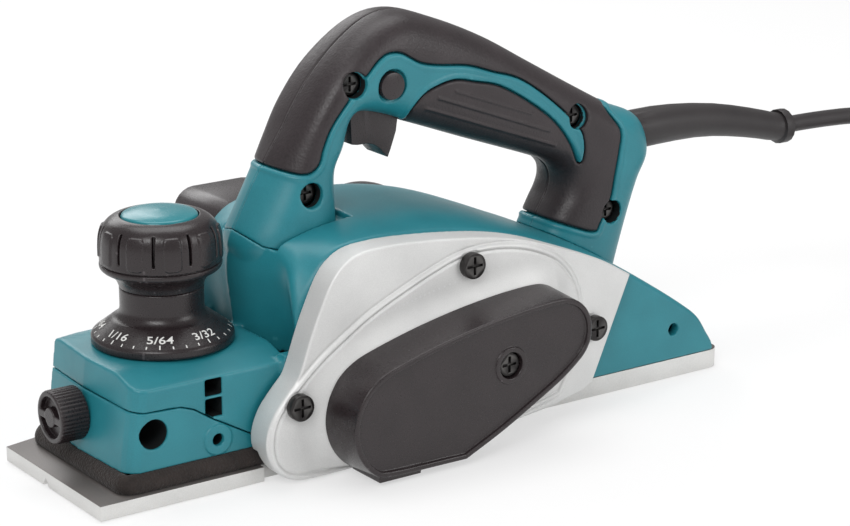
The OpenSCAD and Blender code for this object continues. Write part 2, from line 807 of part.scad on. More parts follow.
module handle_shell(s) {
    color(teal) difference() {
        union() {
            difference() {
                union() {
                    handle_form(s, skin_t);
                    difference() {
                        handle_form(s, 0);
                        grip_region();
                    }
                }
                handle_form(s, shell_t);
            }
            for (p = handle_screw_at) bar_y(p[0], p[1], s > 0 ? 0 : -10, s > 0 ? 10 : 0, 5.4);
            block([92, s > 0 ? 0 : -12, 84], [100, s > 0 ? 12 : 0, guard_z - cord_d / 2]);
        }
        body_form();
        handle_holes();
    }
}

module handle_left() {
    handle_shell(-1);
}

module handle_right() {
    handle_shell(1);
    color(teal) bar_y(button_at[0], button_at[1], -0.8, 12, 3.9);
}

module grip_left() {
    grip(-1);
}

module grip_right() {
    grip(1);
}

module handle_screws() {
    color(black) for (p = handle_screw_at) pan_screw(p, -9, 4, 17);
}

module switch_body() {
    color(black) block([12, -8, 122], [36, 8, 137]);
}

module trigger() {
    color(dark) difference() {
        plate_y(-7, 7, concat([[-15.5, 120], [-15, 108.5], [-12, 108]], arc([-9.5, 97.5], 10.5, 85, 33, 5),
            [[1.2, 101.3], [2.6, 104.5], [5, 111], [6, 118], [2, 121], [-7, 122]],
            arc(trigger_pivot, trigger_lug, 0, 180)));
        bar_y(trigger_pivot[0], trigger_pivot[1], -20, 20, 1.5 + seat_gap);
    }
}

module trigger_pin() {
    color(steel) bar_y(trigger_pivot[0], trigger_pivot[1], -10.5, 10.5, 1.5);
}

module lock_button() {
    color(dark) {
        bar_y(button_at[0], button_at[1], -17, -11, button_r);
        bar_y(button_at[0], button_at[1], -12.4, -11, button_r + 1.4);
    }
}

module button_spring() {
    color(steel) translate([button_at[0], -7.6, button_at[1]]) rotate([-90, 0, 0])
        wire_spring(3.2, 0.4, 6.6, 4);
}

// Cord
guard_path = [[126, 93], [136, 93.2], [146, 93], [156, 92.4], [166, 91.2], [176, 89.4], [186, 87.2],
    [194, 85.2], [199, 83.8], [202.9, 83.1], [203, 83], [207, 83]];
guard_radii = [8, 7.9, 7.6, 7.2, 6.9, 6.6, 6.3, 6.1, 6, 6, 7.2, 7.2];
cord_path = [
    [207, 83], [214, 83], [221, 82.9], [228, 82.7], [235, 82.4], [242, 82], [249, 81.3], [256, 80],
    [263, 77.5], [269, 73.9], [275, 68.8], [279.6, 63.2], [284, 55.8], [288, 48.8], [292.5, 42.6],
    [298, 37.2], [304.5, 32.9], [311, 30], [317, 28.5], [324, 28.3]];
coil_at = [331, -50];
coil_out = 50;
coil_low = 5.5;
coil_top = coil_low + 3 * coil_step;
coil_end = 4 * coil_turns;

function clamp01(v) = min(max(v, 0), 1);
function coil_in(t) = let (k = floor(t / coil_turns), f = t - k * coil_turns)
    k % 2 == 0 ? f : coil_turns - f;
function coil_drop(t) = [for (i = [1 : 3]) clamp01((t - i * coil_turns + 0.25) * 2)] * [1, 1, 1];
function coil_point(t) = let (r = coil_out - coil_step * coil_in(t), a = 90 - 360 * t)
    [coil_at[0] + r * cos(a), coil_at[1] + r * sin(a), coil_top - coil_step * coil_drop(t)];
coil_rings = round(coil_end * 24);
coil_path = concat(
    [[coil_at[0] - cord_d, coil_at[1] + coil_out, coil_top]],
    [for (i = [0 : coil_rings - 1]) coil_point(i / 24)],
    [[coil_at[0], coil_at[1] - coil_out, coil_low], [coil_at[0] - cord_d, coil_at[1] - coil_out, coil_low]]);

// Least distance between points of the coil that lie half a turn or more apart
coil_gap = min([for (i = [0 : len(coil_path) - 13])
    min([for (j = [i + 12 : len(coil_path) - 1]) norm(coil_path[i] - coil_path[j])])]) - cord_d;
echo(str("least gap between the coil's turns, mm: ", coil_gap));

module cord_guard() {
    color(dark) {
        skin(tube_rings([for (p = guard_path) [p[0], 0, p[1]]], guard_radii, 16, [0, 1, 0]));
        bar_x(0, guard_z, 108, 126, 7.9);
        bar_x(0, guard_z, 112, 115, 10);
    }
}

module inner_lead() {
    color(black) bar_x(0, guard_z, 89, 108, cord_d / 2);
}

module cord_clamp() {
    color(metal) plate_x(93, 99,
        [[-9, guard_z + 3.6], [9, guard_z + 3.6], [9, guard_z + 6], [-9, guard_z + 6]]);
}

module cord() {
    path = [for (p = cord_path) [p[0], 0, p[1]]];
    color(black) skin(tube_rings(path, [for (p = path) cord_d / 2], 10, [0, 1, 0]));
}

module cord_coil() {
    color(black) skin(tube_rings(coil_path, [for (p = coil_path) cord_d / 2], 6, [0, 0, 1]));
}

module coil_tie() {
    x0 = coil_at[0] - coil_out - cord_d / 2;
    x1 = coil_at[0] - coil_out + coil_step * coil_turns + cord_d / 2;
    outer = [[x0 - 1.6, 0.3], [x1 + 2.2, 0.3], [x1 + 2.2, coil_top + 5.2], [x0 - 1.6, coil_top + 5.2]];
    inner = [[x0 - 0.4, 1.5], [x1 + 1, 1.5], [x1 + 1, coil_top + 4], [x0 - 0.4, coil_top + 4]];
    color(teal) difference() {
        plate_y(coil_at[1] - 6, coil_at[1] + 6, outer);
        plate_y(coil_at[1] - 7, coil_at[1] + 7, inner);
    }
}

module plug() {
    x = coil_at[0] - cord_d;
    y = coil_at[1] - coil_out;
    color(black) {
        translate([x, y, coil_low]) rotate([0, -90, 0]) cylinder(h = 22, r1 = 4, r2 = 5.2);
        difference() {
            block([x - 50, y - 12, 0.2], [x - 20, y + 12, 2 * coil_low - 0.2]);
            for (s = [-1, 1]) block([x - 60, y + s * 13 - 3, -1], [x - 32, y + s * 13 + 3, 20]);
        }
    }
    color(silver) for (s = [-1, 1])
        block([x - 66, y + 6.35 * s - 0.75, coil_low - 3.2], [x - 50, y + 6.35 * s + 0.75, coil_low + 3.2]);
}

front_base();
guide_pins();
rear_base();
base_screws();
foot();
foot_pin();
foot_spring();
dust_seal();
front_lower_housing();
main_housing();
motor_end_cover();
chip_spout();
side_plate();
side_plate_screws();
belt_cover();
belt_cover_screw();
depth_screw();
retaining_ring();
depth_spring();
dial_ring();
knob_grip();
knob_cap();
clamp_screw();
drum();
drum_shaft();
blades();
blade_clamps();
blade_bolts();
drum_bearings();
drum_pulley();
drive_belt();
motor_pulley();
motor_shaft();
armature_core();
armature_windings();
commutator();
fan();
motor_bearings();
stator();
field_coils();
brush_holders();
carbon_brushes();
brush_caps();
handle_left();
handle_right();
grip_left();
grip_right();
handle_screws();
switch_body();
trigger();
trigger_pin();
lock_button();
button_spring();
cord_guard();
inner_lead();
cord_clamp();
cord();
cord_coil();
coil_tie();
plug();
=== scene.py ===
# %% [markdown]
# # A hand-held power planer, dressed in Blender
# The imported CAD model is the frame: every node already sits in its place, in metres, with the sole
# on the plane z = 0, the rear at +X and the belt cover at -Y. This file loads it, keeps its box, and
# then gives each piece its finish, or a finer shape that stands for it.

# %% Load the frame
import json
import math
import bpy
import numpy as np
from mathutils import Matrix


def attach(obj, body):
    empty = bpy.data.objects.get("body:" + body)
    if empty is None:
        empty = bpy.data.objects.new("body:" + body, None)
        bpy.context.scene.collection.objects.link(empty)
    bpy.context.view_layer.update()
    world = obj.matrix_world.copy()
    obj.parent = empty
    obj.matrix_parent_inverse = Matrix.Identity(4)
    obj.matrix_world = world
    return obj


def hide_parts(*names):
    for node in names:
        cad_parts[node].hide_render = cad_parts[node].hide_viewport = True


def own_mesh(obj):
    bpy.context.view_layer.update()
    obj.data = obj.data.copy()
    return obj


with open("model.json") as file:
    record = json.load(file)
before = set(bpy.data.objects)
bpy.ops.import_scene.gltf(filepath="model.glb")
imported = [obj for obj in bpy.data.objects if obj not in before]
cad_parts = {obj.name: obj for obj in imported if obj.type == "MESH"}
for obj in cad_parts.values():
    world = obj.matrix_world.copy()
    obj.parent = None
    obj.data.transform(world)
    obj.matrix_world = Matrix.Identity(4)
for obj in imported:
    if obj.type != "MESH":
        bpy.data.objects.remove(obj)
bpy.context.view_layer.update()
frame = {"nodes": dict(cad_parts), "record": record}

import openvdb
from mathutils import Vector

nodes = frame["nodes"]
scene = bpy.context.scene
MM = 0.001
print("nodes in the frame:", len(nodes))

# %% [markdown]
# ## Camera
# The camera was worked out from the photograph: the corners of the two soles and the circles of the
# knob give its place, and the 285 mm sole gives its distance. A long lens keeps the lines nearly parallel.
# It could be set by eye, but a camera that is worked out lets a render be laid over the photograph.

# %% Place the camera
EYE, LOOK_AT = (-0.5444, -0.8092, 0.3547), (0.02298, 0, 0.05457)
camera = bpy.data.objects.new("camera", bpy.data.cameras.new("camera"))
scene.collection.objects.link(camera)
camera.location = EYE
aim = Vector(LOOK_AT) - camera.location
camera.rotation_euler = aim.to_track_quat("-Z", "Y").to_euler()
camera.data.lens = 113.51
camera.data.sensor_width = 36
camera.data.clip_start = 0.05
scene.camera = camera
print("camera distance in metres:", round(aim.length, 3))

# %% [markdown]
# ## Floor and light
# A studio shot on white has a pale floor, one large soft lamp above the front left, a second from the
# right, a soft one overhead and a weak one behind. The floor keeps part of the real shadow. The camera
# sees a white surround, which lights the piece only softly. A picture of a studio wrapped round the scene
# would give light too, but lamps are easier to move one by one.

# %% Build the floor and the lamps
FLOOR_Z = -0.0003

def new_material(name):
    m = bpy.data.materials.new(name)
    m.use_nodes = True
    m.node_tree.nodes.clear()
    return m, m.node_tree.nodes, m.node_tree.links

def make_floor():
    mesh = bpy.data.meshes.new("floor")
    corners = [(-6, -6), (6, -6), (6, 6), (-6, 6)]
    mesh.from_pydata([(x, y, FLOOR_Z) for x, y in corners], [], [(0, 1, 2, 3)])
    floor = bpy.data.objects.new("floor", mesh)
    scene.collection.objects.link(floor)
    m, n, link = new_material("pale_floor")
    lit = n.new("ShaderNodeBsdfDiffuse")
    lit.inputs["Color"].default_value = (0.9, 0.9, 0.9, 1)
    glow = n.new("ShaderNodeEmission")
    glow.inputs["Color"].default_value = (1, 1, 1, 1)
    path = n.new("ShaderNodeLightPath")
    seen = n.new("ShaderNodeMath")
    seen.operation = "MAXIMUM"
    link.new(path.outputs["Is Camera Ray"], seen.inputs[0])
    link.new(path.outputs["Is Glossy Ray"], seen.inputs[1])
    part = n.new("ShaderNodeMath")
    part.operation = "MULTIPLY"
    part.inputs[1].default_value = 0.55
    link.new(seen.outputs[0], part.inputs[0])
    mix = n.new("ShaderNodeMixShader")
    link.new(part.outputs[0], mix.inputs[0])
    link.new(lit.outputs[0], mix.inputs[1])
    link.new(glow.outputs[0], mix.inputs[2])
    out = n.new("ShaderNodeOutputMaterial")
    link.new(mix.outputs[0], out.inputs["Surface"])
    mesh.materials.append(m)

def make_world():
    world = bpy.data.worlds.new("studio")
    scene.world = world
    world.use_nodes = True
    n, link = world.node_tree.nodes, world.node_tree.links
    n.clear()
    path = n.new("ShaderNodeLightPath")
    one = n.new("ShaderNodeMath")
    one.operation = "MAXIMUM"
    link.new(path.outputs["Is Camera Ray"], one.inputs[0])
    link.new(path.outputs["Is Transmission Ray"], one.inputs[1])
    soft = n.new("ShaderNodeBackground")
    soft.inputs["Color"].default_value = (1, 1, 1, 1)
    soft.inputs["Strength"].default_value = 0.42
    white = n.new("ShaderNodeBackground")
    white.inputs["Color"].default_value = (1, 1, 1, 1)
    mix = n.new("ShaderNodeMixShader")
    link.new(one.outputs[0], mix.inputs[0])
    link.new(soft.outputs[0], mix.inputs[1])
    link.new(white.outputs[0], mix.inputs[2])
    out = n.new("ShaderNodeOutputWorld")
    link.new(mix.outputs[0], out.inputs["Surface"])

def make_lamp(name, place, target, size, power):
    lamp = bpy.data.lights.new(name, "AREA")
    lamp.shape = "RECTANGLE"
    lamp.size, lamp.size_y = size
    lamp.energy = power
    o = bpy.data.objects.new(name, lamp)
    o.location = place
    o.rotation_euler = (Vector(target) - Vector(place)).to_track_quat("-Z", "Y").to_euler()
    scene.collection.objects.link(o)

scene.view_settings.view_transform = "Standard"
make_floor()
make_world()
make_lamp("key", (-1.1, -0.9, 1.25), (0, 0, 0.06), (0.9, 0.7), 13)
make_lamp("fill", (0.9, -1.4, 0.7), (0, 0, 0.06), (0.8, 0.8), 7)
make_lamp("top", (0.15, 0.35, 1.5), (0, 0, 0.05), (1.4, 0.9), 12)
make_lamp("back", (0.2, 1.4, 0.8), (0, 0, 0.06), (0.9, 0.6), 5)
print("floor, world and four lamps")

# %% [markdown]
# ## Finishes
# Each finish starts from one shader with a fixed colour range, and gets its grain from noise in the
# piece's own coordinates, which are metres, so a pebble or a tool mark has its true size on every piece.
# Painted images could do the same, but every piece would have to be unfolded for them first.

# %% Helpers for the finishes
def noise_node(n, link, coords, size, detail=3.0, stretch=(1, 1, 1)):
    place = n.new("ShaderNodeMapping")
    place.inputs["Scale"].default_value = [s / (size * MM) for s in stretch]
    link.new(coords, place.inputs["Vector"])
    noise = n.new("ShaderNodeTexNoise")
    noise.inputs["Scale"].default_value = 1.0
    noise.inputs["Detail"].default_value = detail
    link.new(place.outputs[0], noise.inputs["Vector"])
    return noise.outputs["Fac"]

def pebble_node(n, link, coords, size, feature="F1", stretch=(1, 1, 1)):
    place = n.new("ShaderNodeMapping")
    place.inputs["Scale"].default_value = [s / (size * MM) for s in stretch]
    link.new(coords, place.inputs["Vector"])
    cells = n.new("ShaderNodeTexVoronoi")
    cells.feature = feature
    cells.inputs["Scale"].default_value = 1.0
    link.new(place.outputs[0], cells.inputs["Vector"])
    return cells.outputs["Distance"]

def spread(n, link, value, low, high, from_low=0.3, from_high=0.7):
    r = n.new("ShaderNodeMapRange")
    r.inputs["From Min"].default_value = from_low
    r.inputs["From Max"].default_value = from_high
    r.inputs["To Min"].default_value = low
    r.inputs["To Max"].default_value = high
    link.new(value, r.inputs["Value"])
    return r.outputs["Result"]

def tint(n, link, value, dark, light):
    mix = n.new("ShaderNodeMix")
    mix.data_type = "RGBA"
    link.new(value, mix.inputs["Factor"])
    mix.inputs["A"].default_value = (*dark, 1)
    mix.inputs["B"].default_value = (*light, 1)
    return mix.outputs["Result"]

def cover_colour(n, link, value, colour, cover):
    """Another colour laid over a colour where the value is high."""
    mix = n.new("ShaderNodeMix")
    mix.data_type = "RGBA"
    link.new(value, mix.inputs["Factor"])
    link.new(colour, mix.inputs["A"])
    mix.inputs["B"].default_value = (*cover, 1)
    return mix.outputs["Result"]

def relief(n, link, value, height, strength, below):
    bump = n.new("ShaderNodeBump")
    bump.inputs["Distance"].default_value = height * MM
    bump.inputs["Strength"].default_value = strength
    link.new(value, bump.inputs["Height"])
    if below:
        link.new(below, bump.inputs["Normal"])
    return bump.outputs["Normal"]

def finish(name, dark, light, grain, rough, metallic=0.0, patch=14.0, fixed=None, reliefs=(), painted_edge_highlight=None,
        top=None):
    """A finish whose colour wanders between dark and light, with relief from the given layers.
    reliefs holds (kind, size in mm, height in mm, stretch); the edge colour is a lighter colour painted on
    sharp edges as a highlight, and top is the colour of faces that look up."""
    m, n, link = new_material(name)
    out = n.new("ShaderNodeOutputMaterial")
    bsdf = n.new("ShaderNodeBsdfPrincipled")
    link.new(bsdf.outputs[0], out.inputs["Surface"])
    coords = n.new("ShaderNodeTexCoord").outputs["Object"]
    bsdf.inputs["Metallic"].default_value = metallic
    wide = noise_node(n, link, coords, patch, 4)
    fine = noise_node(n, link, coords, grain, 2)
    both = n.new("ShaderNodeMath")
    both.operation = "ADD"
    link.new(spread(n, link, wide, 0, 0.55), both.inputs[0])
    link.new(spread(n, link, fine, 0, 0.45), both.inputs[1])
    colour = tint(n, link, both.outputs[0], dark, light)
    # Sharp edges, found by their pointiness, get a lighter colour: a painted highlight.
    if painted_edge_highlight:
        edge = n.new("ShaderNodeNewGeometry").outputs["Pointiness"]
        colour = cover_colour(n, link, spread(n, link, edge, 0, 0.6, 0.53, 0.62), colour, painted_edge_highlight)
    if top:
        up = n.new("ShaderNodeSeparateXYZ")
        link.new(n.new("ShaderNodeNewGeometry").outputs["Normal"], up.inputs[0])
        colour = cover_colour(n, link, spread(n, link, up.outputs["Z"], 0, 1, 0.4, 0.8), colour, top)
    link.new(colour, bsdf.inputs["Base Color"])
    link.new(spread(n, link, fine, rough[0], rough[1]), bsdf.inputs["Roughness"])
    for key, value in (fixed or {}).items():
        bsdf.inputs[key].default_value = value
    normal = None
    for kind, size, height, stretch in reliefs:
        if kind == "pebble":
            value = pebble_node(n, link, coords, size, "SMOOTH_F1", stretch)
        elif kind == "cells":
            value = pebble_node(n, link, coords, size, "F1", stretch)
        else:
            value = noise_node(n, link, coords, size, 3, stretch)
        normal = relief(n, link, value, height, 0.6, normal)
    if normal:
        link.new(normal, bsdf.inputs["Normal"])
    return m

print("finish helpers ready")

# %% [markdown]
# The plastics come out of fine moulds, so their grain is small. On them, on the side plate and on the black
# steel a lighter colour on sharp edges is a painted highlight. The rubber is pebbled for the hand, the side
# plate is a casting under silver paint, and the soles are milled, so their marks run one way. Each piece
# could have a finish of its own. One for each material of the CAD model keeps pieces of the same stuff alike,
# and one more, near black, is painted shade inside deep holes.

# %% Mix the finishes
EVEN = (1, 1, 1)
finishes = {
    "teal_plastic": finish("teal_moulded", (0.012, 0.175, 0.215), (0.02, 0.225, 0.272), 0.5, (0.34, 0.44),
        reliefs=[("noise", 0.35, 0.03, EVEN), ("noise", 6, 0.05, EVEN)], painted_edge_highlight=(0.06, 0.32, 0.37)),
    "dark_plastic": finish("dark_moulded", (0.015, 0.0102, 0.0112), (0.025, 0.0175, 0.019), 0.5, (0.25, 0.36),
        reliefs=[("noise", 0.35, 0.04, EVEN), ("noise", 7, 0.05, EVEN)], painted_edge_highlight=(0.10, 0.085, 0.09)),
    "rubber_skin": finish("pebbled_rubber", (0.018, 0.0125, 0.014), (0.034, 0.025, 0.0275), 0.8, (0.36, 0.5),
        reliefs=[("pebble", 0.85, 0.12, EVEN), ("noise", 0.2, 0.02, EVEN)]),
    "silver_casting": finish("silver_paint", (0.60, 0.60, 0.595), (0.78, 0.78, 0.77), 0.28, (0.42, 0.58),
        0.3, 25, {"Coat Weight": 0.1, "Coat Roughness": 0.3},
        [("noise", 0.3, 0.05, EVEN), ("noise", 4, 0.05, EVEN)], painted_edge_highlight=(0.75, 0.75, 0.76)),
    "machined_base": finish("milled_sole", (0.62, 0.615, 0.60), (0.76, 0.755, 0.74), 0.4, (0.36, 0.5),
        0.35, 20, None, [("noise", 0.35, 0.03, (0.04, 1, 1)), ("noise", 0.2, 0.02, EVEN)],
        top=(0.135, 0.122, 0.116)),
    "turned_steel": finish("turned_steel", (0.42, 0.43, 0.45), (0.55, 0.56, 0.58), 0.4, (0.22, 0.36), 1.0, 9,
        None, [("noise", 0.25, 0.02, (1, 0.1, 1))]),
    "black_steel": finish("blackened_steel", (0.018, 0.016, 0.016), (0.035, 0.032, 0.032), 0.4, (0.3, 0.45),
        0.7, 4, None, [("noise", 0.3, 0.03, EVEN)], painted_edge_highlight=(0.14, 0.135, 0.13)),
    "foam": finish("brown_foam", (0.010, 0.006, 0.005), (0.030, 0.021, 0.018), 0.7, (0.85, 0.98), 0, 4,
        {"Sheen Weight": 0.15}, [("cells", 0.9, 0.5, EVEN), ("noise", 0.4, 0.2, EVEN)]),
    "copper_wire": finish("enamelled_copper", (0.42, 0.16, 0.05), (0.6, 0.26, 0.1), 0.5, (0.25, 0.4), 0.9, 3,
        None, [("noise", 0.6, 0.1, (1, 0.1, 1))]),
    "carbon": finish("pressed_carbon", (0.012, 0.012, 0.012), (0.03, 0.03, 0.03), 0.4, (0.5, 0.7),
        reliefs=[("noise", 0.3, 0.05, EVEN)]),
    "belt_rubber": finish("ribbed_belt", (0.010, 0.010, 0.010), (0.025, 0.024, 0.024), 0.5, (0.6, 0.8),
        reliefs=[("noise", 1.2, 0.4, (0.02, 1, 0.02)), ("noise", 0.3, 0.05, EVEN)]),
    "cord_sheath": finish("cord_sheath", (0.020, 0.017, 0.018), (0.034, 0.029, 0.030), 0.5, (0.42, 0.55),
        reliefs=[("noise", 0.5, 0.03, EVEN), ("noise", 5, 0.08, EVEN)]),
    # Near-black painted shade for faces deep inside holes; the real walls there are the same plastic.
    "painted_hole_shade": finish("painted_hole_shade", (0.003, 0.005, 0.006), (0.006, 0.009, 0.010), 0.5, (0.6, 0.7),
        reliefs=[("noise", 0.5, 0.03, EVEN)]),
    "core_iron": finish("iron_sheets", (0.16, 0.16, 0.165), (0.27, 0.27, 0.275), 0.5, (0.4, 0.6), 0.9, 5,
        None, [("noise", 0.5, 0.2, (0.02, 1, 0.02))]),
}
slot_of = {s["node"]: s["material_slot"] for s in frame["record"]["subparts"]}
print("finishes:", len(finishes))

# %% [markdown]
# ## Rounded edges on the CAD solids
# A moulded or machined edge is never perfectly sharp, and the thin highlight on it makes a piece look
# solid. The solids come in as flat triangles, so a small stack of modifiers welds them, joins the flat
# faces, rounds the sharp edges and shades the round ones smoothly. The solids themselves stay untouched.
# Edges rounded in the CAD model would look the same, but they would make its files heavy.

# %% Edge rounding and smooth shading
def smooth_group():
    g = bpy.data.node_groups.new("smooth_below_angle", "GeometryNodeTree")
    g.interface.new_socket("Geometry", in_out="INPUT", socket_type="NodeSocketGeometry")
    g.interface.new_socket("Geometry", in_out="OUTPUT", socket_type="NodeSocketGeometry")
    n, link = g.nodes, g.links
    start, end = n.new("NodeGroupInput"), n.new("NodeGroupOutput")
    faces = n.new("GeometryNodeSetShadeSmooth")
    faces.domain = "FACE"
    edges = n.new("GeometryNodeSetShadeSmooth")
    edges.domain = "EDGE"
    edges.inputs["Shade Smooth"].default_value = False
    angle = n.new("GeometryNodeInputMeshEdgeAngle")
    sharp = n.new("FunctionNodeCompare")
    sharp.operation = "GREATER_THAN"
    sharp.inputs[1].default_value = math.radians(32)
    link.new(angle.outputs["Unsigned Angle"], sharp.inputs[0])
    link.new(start.outputs[0], faces.inputs["Geometry"])
    link.new(faces.outputs[0], edges.inputs["Geometry"])
    link.new(sharp.outputs[0], edges.inputs["Selection"])
    link.new(edges.outputs[0], end.inputs[0])
    return g

SMOOTH = smooth_group()

def smooth_shade(o):
    mod = o.modifiers.new("smooth", "NODES")
    mod.node_group = SMOOTH

def round_edges(o, width, segments=2):
    weld = o.modifiers.new("weld", "WELD")
    weld.merge_threshold = 0.00002
    flat = o.modifiers.new("join_flats", "DECIMATE")
    flat.decimate_type = "DISSOLVE"
    flat.angle_limit = math.radians(0.5)
    bevel = o.modifiers.new("round", "BEVEL")
    bevel.width = width * MM
    bevel.segments = segments
    bevel.limit_method = "ANGLE"
    bevel.angle_limit = math.radians(32)
    bevel.use_clamp_overlap = True
    smooth_shade(o)

EDGE = {"front_base": 0.35, "rear_base": 0.45, "drum": 0.25, "blades": 0.1, "chip_spout": 0.8,
    "motor_end_cover": 0.7, "trigger": 0.9, "foot": 0.6, "knob_cap": 0.5, "lock_button": 0.6,
    "side_plate_screws": 0.4, "belt_cover_screw": 0.3, "handle_screws": 0.3, "fan": 0.3}
for name, o in nodes.items():
    o.data.materials.clear()
    o.data.materials.append(finishes[slot_of[name]])
    round_edges(o, EDGE.get(name, 0.2))
print("nodes finished:", len(nodes))

# %% [markdown]
# ## Mains cord
# The photograph shows the cord leaving its guard and running out of the view. A planer like this has
# about 2.5 m of it, so the unseen rest is put away beside the rear as a neat coil of four layers. The
# cord is one curve: the free stretch sags down to the coil's top layer, and each layer winds in or out.
# It could be a mesh made ring by ring, but a curve takes its round section from a single value.

# %% Lay out the cord's route
def flow(points, steps):
    """A smooth line through the points, with the given number of steps between two of them."""
    p = np.array(points, float)
    p = np.vstack([2 * p[0] - p[1], p, 2 * p[-1] - p[-2]])
    t = (np.arange(steps) / steps)[:, None]
    runs = [0.5 * (2 * b + (c - a) * t + (2 * a - 5 * b + 4 * c - d) * t ** 2
        + (3 * b - a - 3 * c + d) * t ** 3)
        for a, b, c, d in zip(p[:-3], p[1:-2], p[2:-1], p[3:])]
    return np.vstack(runs + [p[-2:-1]])

free_run = [(207, 83), (214, 83), (221, 82.9), (228, 82.7), (235, 82.4), (242, 82), (249, 81.3), (256, 80),
    (263, 77.5), (269, 73.9), (275, 68.8), (279.6, 63.2), (284, 55.8), (288, 48.8), (292.5, 42.6),
    (298, 37.2), (304.5, 32.9), (311, 30), (317, 28.5), (324, 28.3)]
CORD_D, COIL_R, COIL_STEP, COIL_LOW, LAYER_TURNS = 7.0, 50.0, 7.6, 5.5, 2.125
COIL_X, COIL_Y = 331.0, -50.0

def coil_point(t):
    k = min(int(t / LAYER_TURNS), 3)
    f = t - k * LAYER_TURNS
    r = COIL_R - COIL_STEP * (f if k % 2 == 0 else LAYER_TURNS - f)
    drop = sum(min(max((t - i * LAYER_TURNS + 0.25) * 2, 0), 1) for i in (1, 2, 3))
    a = math.radians(90 - 360 * t)
    return (COIL_X + r * math.cos(a), COIL_Y + r * math.sin(a), COIL_LOW + COIL_STEP * (3 - drop))

coil_run = [coil_point(i / 36) for i in range(int(4 * LAYER_TURNS * 36) + 1)]
route = np.vstack([flow([(x, 0, z) for x, z in free_run], 3)[:-1], [(324, 0, 28.3)], coil_run,
    [(COIL_X, COIL_Y - COIL_R, COIL_LOW), (COIL_X - CORD_D, COIL_Y - COIL_R, COIL_LOW)]])
keep = np.append(True, np.linalg.norm(np.diff(route, axis=0), axis=1) > 0.05)
route = route[keep] * MM

# %% Draw the cord
def tube(name, path, diameter, finish_name):
    c = bpy.data.curves.new(name, "CURVE")
    c.dimensions = "3D"
    c.bevel_depth = diameter / 2
    c.bevel_resolution = 5
    c.use_fill_caps = True
    s = c.splines.new("POLY")
    s.points.add(len(path) - 1)
    for p, q in zip(s.points, path):
        p.co = (*q, 1)
    s.use_smooth = True
    o = bpy.data.objects.new(name, c)
    scene.collection.objects.link(o)
    c.materials.append(finishes[finish_name])
    return o

def add_piece(name, verts, faces, material, body, replaced=(), slot=None, smooth=True):
    mesh = bpy.data.meshes.new(name)
    mesh.from_pydata([tuple(v) for v in verts], [], [tuple(f) for f in faces])
    mesh.validate()
    o = bpy.data.objects.new(name, mesh)
    scene.collection.objects.link(o)
    mesh.materials.append(material)
    if smooth:
        smooth_shade(o)
    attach(o, body)
    if replaced:
        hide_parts(*replaced)
    return o

mains_cord = tube("mains_cord", route, CORD_D * MM, "cord_sheath")
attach(mains_cord, "casing")
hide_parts("cord", "cord_coil")
print("points on the cord:", len(route))

# %% [markdown]
# The plug is moulded onto the cord: a ribbed sleeve, a body with a finger grip on each side and two
# blades. It could be built from boxes with rounded edges. It is lofted from sections along the cord
# instead, because every section is a rounded oblong and only its two widths and its fullness change.

# %% Plug body
def loft(rings, closed_ends=True):
    n = len(rings[0])
    verts = [p for ring in rings for p in ring]
    faces = [(i * n + j, i * n + (j + 1) % n, (i + 1) * n + (j + 1) % n, (i + 1) * n + j)
        for i in range(len(rings) - 1) for j in range(n)]
    if closed_ends:
        faces.append(tuple(range(n))[::-1])
        faces.append(tuple(range((len(rings) - 1) * n, len(rings) * n)))
    return verts, faces

def oblong(half_u, half_v, fullness=0.35, count=40):
    a = np.linspace(0, 2 * np.pi, count, endpoint=False)
    return np.c_[half_u * np.sign(np.cos(a)) * np.abs(np.cos(a)) ** fullness,
        half_v * np.sign(np.sin(a)) * np.abs(np.sin(a)) ** fullness]

def plug_ring(x, y, half_u, half_v, fullness, count=40):
    """A rounded section of the plug at x, round the cord's end."""
    return [(x * MM, (y + u) * MM, (COIL_LOW + v) * MM) for u, v in oblong(half_u, half_v, fullness, count)]

plug_x, plug_y = COIL_X - CORD_D, COIL_Y - COIL_R
sections = []
for i in range(13):
    r = 3.9 + 0.11 * i - (0.55 if i % 2 else 0)
    sections += [(plug_x - 1.6 * i, r, r, 1.0), (plug_x - 1.6 * i - 0.9, r, r, 1.0)]
sections += [(plug_x - 21.5, 8, 5.2, 0.6), (plug_x - 24, 11.2, 5.2, 0.4), (plug_x - 30, 12, 5.3, 0.35),
    (plug_x - 34, 11.2, 5.3, 0.35), (plug_x - 38, 10.4, 5.3, 0.35), (plug_x - 44, 10.6, 5.3, 0.35),
    (plug_x - 48.6, 10.6, 5.3, 0.35), (plug_x - 50, 9.4, 4.4, 0.4)]
rings = [plug_ring(x, plug_y, half_u, half_v, full) for x, half_u, half_v, full in sections]
plug_body = add_piece("plug_body", *loft(rings), finishes["cord_sheath"], "casing", ["plug"], "cord_sheath")
print("sections of the plug:", len(sections))

# %% Plug blades
blade_verts, blade_faces = [], []
for side in (-1, 1):
    y = plug_y + 6.35 * side
    rings = [plug_ring(x, y, 0.75, high, 0.25, 24) for x, high in ((plug_x - 49, 3.15), (plug_x - 62, 3.15),
        (plug_x - 64.5, 2.8), (plug_x - 66, 2.1))]
    v, f = loft(rings)
    blade_faces += [tuple(k + len(blade_verts) for k in face) for face in f]
    blade_verts += v
brass = finish("plug_brass", (0.50, 0.40, 0.20), (0.62, 0.52, 0.28), 0.4, (0.2, 0.34), 1.0, 5,
    None, [("noise", 0.3, 0.02, (0.1, 1, 1))])
plug_blades = add_piece("plug_blades", blade_verts, blade_faces, brass, "casing", ["plug"], "cord_sheath")
print("faces of the two blades:", len(blade_faces))

# %% [markdown]
# A woven strap holds the coil together. A strip of cloth could be wrapped round it by a simulation. Here
# rings round the bundle are lofted over the strap's width on its outer side and back on its inner side,
# which is quick and always fits.

